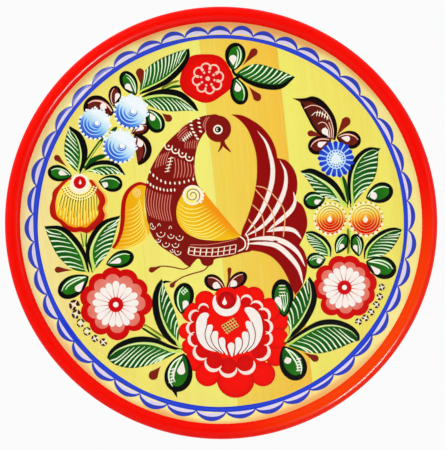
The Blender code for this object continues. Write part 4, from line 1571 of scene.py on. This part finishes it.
def paint_yellow_flowers():
    """Two button flowers, yellow above and red below."""
    paint = Painting("yellow_buttons")
    for center, radius in (((76.1, 2.9), 10.2), ((101.0, 2.7), 10.9)):
        def glow(share, p, c=center, r=radius):
            return 0.44 + ((p[1] - c[1]) * 0.74 - (p[0] - c[0]) * 0.14) / r

        paint.disc(center, circle(center, radius, 44), "sunset", 3, glow,
                   rings=(0.25, 0.5, 0.75, 1.0), crown=0.05)
        for share in (0.95, 0.77, 0.59, 0.41):
            paint.stroke(sweep(center, radius * share, 0, 24, 16), 0.5, "pale_yellow", 4,
                         tone=0.4, step=0.7,
                         shape=lambda t, l, w: w * (0.7 + 0.3 * sin(2 * pi * t)))
            paint.stroke(sweep(center, radius * (share - 0.07), 12, 15, 11), 0.5, "brown_line", 4,
                         crescent_profile, 0.8, step=0.7)
            paint.stroke(sweep(center, radius * (share - 0.08), 190, 15, 11), 0.9, "red", 5,
                         crescent_profile, 0.5, step=0.7)
        eye = (center[0] - 0.4, center[1] - 0.4)
        paint.dot(eye, 1.7, "cream", 6)
        drop(paint, (eye[0] + 0.4, eye[1] + 3.6), (eye[0] - 0.2, eye[1] - 2.0), 3.0, "cream", 7)
        for i in range(20):
            angle = 18 * i
            if 170 < angle < 345:
                paint.dot(polar(center, radius * 1.08, angle), 1.05 + 0.25 * sin(i * 2.3),
                          "cream", 4)
                paint.dot(polar(center, radius * 1.02, angle + 9), 0.7, "red", 4, 0.6)
            else:
                paint.dot(polar(center, radius * 1.08, angle), 0.45, "brown_line", 4)
                paint.dot(polar(center, radius * 1.05, angle + 9), 0.95, "cream", 2)
    paint.build()


def paint_right_upper_leaves():
    """Leaves and buds between the daisy and the yellow flowers."""
    paint = Painting("right_leaves_upper")
    leaf(paint, (88.6, 10.4), (55.2, 36.2), [(85.8, 19.4), (79.6, 28.8), (70.8, 34.8),
                                           (62.6, 38.0)],
         [(84.0, 13.4), (75.4, 16.8), (68.0, 19.8), (63.6, 24.6), (59.4, 31.0)], black=4.0,
         lime=2.8, width=1.15)
    leaf(paint, (90.2, 10.6), (111.2, 52.0), [(88.0, 27.4), (89.6, 38.6), (95.0, 47.8),
                                            (102.6, 52.6)],
         [(99.4, 21.8), (106.4, 30.0), (109.2, 40.2), (109.8, 49.6)], veins=9, black=3.0,
         lime=1.7, width=1.1)
    bud(paint, (72.6, 17.0), (57.4, 14.6), 12.6, (66.2, 14.4), 3.2, side=-1)
    bud(paint, (101.0, 17.2), (119.6, 24.0), 14.2, (107.4, 19.4), 5.0)
    paint.stroke([(84.8, 33.0), (86.2, 26.0), (88.2, 12.0)], 3.6, "green", 1)
    paint.stroke([(83.0, 33.4), (85.0, 25.0), (87.6, 14.0)], 1.4, "lime", 2)
    paint.build()


def paint_blue_daisy():
    """Blue flower of short petals round a pale button."""
    paint = Painting("blue_daisy")
    center = (80.2, 44.4)
    paint.disc(center, circle(center, 12.0, 40), "sky", 2, 0.2)
    for i in range(17):
        angle = 92 + 360 * i / 17
        reach = 12.9 + 0.3 * sin(i * 2.2)
        paint.stroke([polar(center, 6.4, angle), polar(center, reach, angle)], 3.5,
                     "deep_blue", 3,
                     lambda t, l, w: w * (0.5 + 0.5 * t) * min(1.0, (1 - t) * 5) ** 0.5,
                     lambda t, s: 0.6 * (1 - t), step=0.7)
    paint.disc(center, circle(center, 6.8, 32), "sky", 5, 0.5)
    paint.disc(center, circle(center, 4.5, 28), "white_blue", 6)
    for i in range(17):
        angle = 360 * i / 17
        paint.stroke([polar(center, 5.5, angle - 6), polar(center, 5.5, angle + 6)], 1.0,
                     "deep_blue", 6, step=0.4)
        if sin(angle * 0.05) > -0.8:
            paint.stroke([polar(center, 3.8, angle - 6), polar(center, 3.8, angle + 7)], 0.75,
                         "navy", 7, step=0.4)
    paint.build()


def paint_brown_leaf():
    """Brown leaf, buds and drops above the daisy."""
    paint = Painting("brown_leaf")
    leaf(paint, (79.6, 57.6), (49.6, 86.8),
         [(81.0, 65.0), (79.4, 73.4), (74.8, 81.0), (69.6, 86.2), (63.6, 88.3), (58.4, 87.0)],
         [(72.0, 60.0), (66.0, 64.8), (62.4, 71.8), (59.4, 77.6), (55.4, 83.8)],
         veins=0, black=4.6, lime=0, body="brown_fill", shade="dark_brown")
    for width, points in ((0.6, ((78.0, 58.6), (78.0, 66.0), (75.0, 74.6), (69.6, 80.4),
                                 (63.4, 82.0), (57.8, 79.8))),
                          (0.5, ((76.6, 59.0), (76.8, 65.0), (75.0, 70.4))),
                          (0.55, ((75.6, 59.0), (75.2, 65.0), (72.8, 69.4), (69.8, 70.2),
                                  (67.4, 68.8))),
                          (0.45, ((74.6, 59.2), (74.0, 64.0), (72.4, 67.0)))):
        paint.stroke(points, width, "pink", 5)
    drop(paint, (75.4, 59.6), (71.0, 65.8), 4.2, "white", 6)
    paint.stroke([(63.0, 74.6), (65.8, 77.0), (70.4, 76.3), (75.0, 72.4)], 0.5, "cream", 5)
    for i in range(5):
        x, z = 67.0 + 1.8 * i, 76.4 - 0.17 * i * i
        paint.stroke([(x + 0.4, z + 2.1), (x - 0.5, z - 2.1)], 0.62, "cream", 6, step=0.7)
    paint.stroke([(55.4, 84.6), (57.8, 79.8), (60.8, 74.0), (64.2, 67.6), (68.2, 62.8),
                  (74.4, 59.0)], 1.5, "dark_brown", 4)
    bud(paint, (76.8, 58.0), (61.0, 51.2), 12.8, (68.8, 54.4), 3.6, brown=True, side=-1, level=1)
    bud(paint, (80.4, 60.0), (97.4, 56.4), 12.6, (88.4, 58.6), 3.6, brown=True, level=1)
    drop(paint, (79.8, 59.8), (89.0, 73.4), 5.8, "brown", 2)
    drop(paint, (74.0, 60.4), (60.2, 62.8), 4.0, "brown", 1)
    paint.build()


# -------- hanger

def dress_hanger():
    """Plated steel on the hanger's own CAD meshes."""
    plain = steel("hanger_steel_worn")
    zinc = steel("screw_zinc_worn", (0.66, 0.62, 0.52))
    for name, material in (("hanger_strap", plain), ("hanger_ring", plain),
                           ("hanger_screw_upper", zinc), ("hanger_screw_lower", zinc)):
        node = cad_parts[name]
        node.data.materials.clear()
        node.data.materials.append(material)


# -------- studio

FLOOR_LEVEL = -1.35
FLOOR_HALF = 7.5
LENS = 120
SENSOR = 36
CAMERA_DISTANCE = 1.041
CAMERA_SHIFT = (0.00097, -0.00146)


def make_floor():
    mesh = bpy.data.meshes.new("floor")
    corners = [(x * FLOOR_HALF, y * FLOOR_HALF, FLOOR_LEVEL)
               for x, y in ((-1, -1), (1, -1), (1, 1), (-1, 1))]
    mesh.from_pydata(corners, [], [(0, 1, 2, 3)])
    nodes = Nodes("floor_paper", roughness=0.9, specular=0.1)
    x, y, z = nodes.position()
    tone = nodes.noise(nodes.combine(x, y, z), 0.002)
    pale, paler = (0.93, 0.93, 0.93, 1), (0.95, 0.95, 0.95, 1)
    mesh.materials.append(nodes.color(nodes.mix(tone, pale, paler)))
    floor = linked("floor", mesh)


def make_world():
    """White all round, with a dark patch in front that keeps glare off the painting."""
    world = bpy.data.worlds.new("studio")
    bpy.context.scene.world = world
    world.use_nodes = True
    tree = world.node_tree
    coordinates = tree.nodes.new("ShaderNodeTexCoord")
    split = tree.nodes.new("ShaderNodeSeparateXYZ")
    tree.links.new(coordinates.outputs["Generated"], split.inputs[0])
    span = tree.nodes.new("ShaderNodeMapRange")
    span.inputs["From Min"].default_value = -1
    span.inputs["From Max"].default_value = 1
    tree.links.new(split.outputs[1], span.inputs["Value"])
    ramp = tree.nodes.new("ShaderNodeValToRGB")
    tree.links.new(span.outputs["Result"], ramp.inputs["Fac"])
    stops = ((0.0, 0.05), (0.03, 0.06), (0.09, 0.62), (0.4, 0.66), (0.52, 0.965))
    fill_ramp(ramp, [(place, (level, level, level, 1)) for place, level in stops])
    tree.links.new(ramp.outputs["Color"], tree.nodes["Background"].inputs["Color"])


def add_light(name, off_axis, toward, distance, size, radiance, diffuse=True, glossy=True):
    """Round lamp aimed at the plate: angle from the plate's axis, and direction as seen."""
    tilt, turn = radians(off_axis), radians(toward)
    sideways = sin(tilt)
    aim = Vector((sideways * cos(turn), -cos(tilt), sideways * sin(turn)))
    data = bpy.data.lights.new(name, "AREA")
    data.shape = "DISK"
    data.size = size
    data.energy = radiance * pi * pi * (size / 2) ** 2
    light = linked(name, data)
    light.location = aim * distance
    light.rotation_euler = (-aim).to_track_quat("-Z", "Y").to_euler()
    light.visible_diffuse = diffuse
    light.visible_glossy = glossy


def make_lights():
    add_light("key_upper_left", 52, 132, 1.9, 1.5, 3.35, glossy=False)
    add_light("fill_right", 56, 4, 1.9, 0.9, 3.6)
    add_light("glint_lower_right", 41, -46, 1.7, 0.5, 140, diffuse=False)


def make_camera():
    """Square on to the plate, which just fills the frame."""
    data = bpy.data.cameras.new("camera")
    data.lens = LENS
    data.sensor_width = SENSOR
    data.clip_start = 0.05
    camera = linked("camera", data)
    rim_plane = -RIM_CENTER[1] * MM
    camera.location = (CAMERA_SHIFT[0], rim_plane - CAMERA_DISTANCE, CAMERA_SHIFT[1])
    camera.rotation_euler = (pi / 2, 0, 0)
    bpy.context.scene.camera = camera


# -------- build

PAINTS = {name: gouache(name) for name in PALETTE}

bpy.context.scene.view_settings.view_transform = "Standard"
make_boards()
make_rim()
make_border()
paint_bell_flower()
paint_left_leaves()
paint_left_rose()
paint_left_wing()
paint_top_flower()
paint_top_right_leaves()
paint_top_left_leaves()
paint_blue_flowers()
paint_bird_body()
paint_bird_lines()
paint_bird_wing()
paint_bird_tail()
paint_big_rose()
paint_bottom_left_leaves()
paint_bottom_right_leaves()
paint_right_rose()
paint_right_lower_leaves()
paint_yellow_flowers()
paint_right_upper_leaves()
paint_blue_daisy()
paint_brown_leaf()
dress_hanger()
make_floor()
make_world()
make_lights()
make_camera()
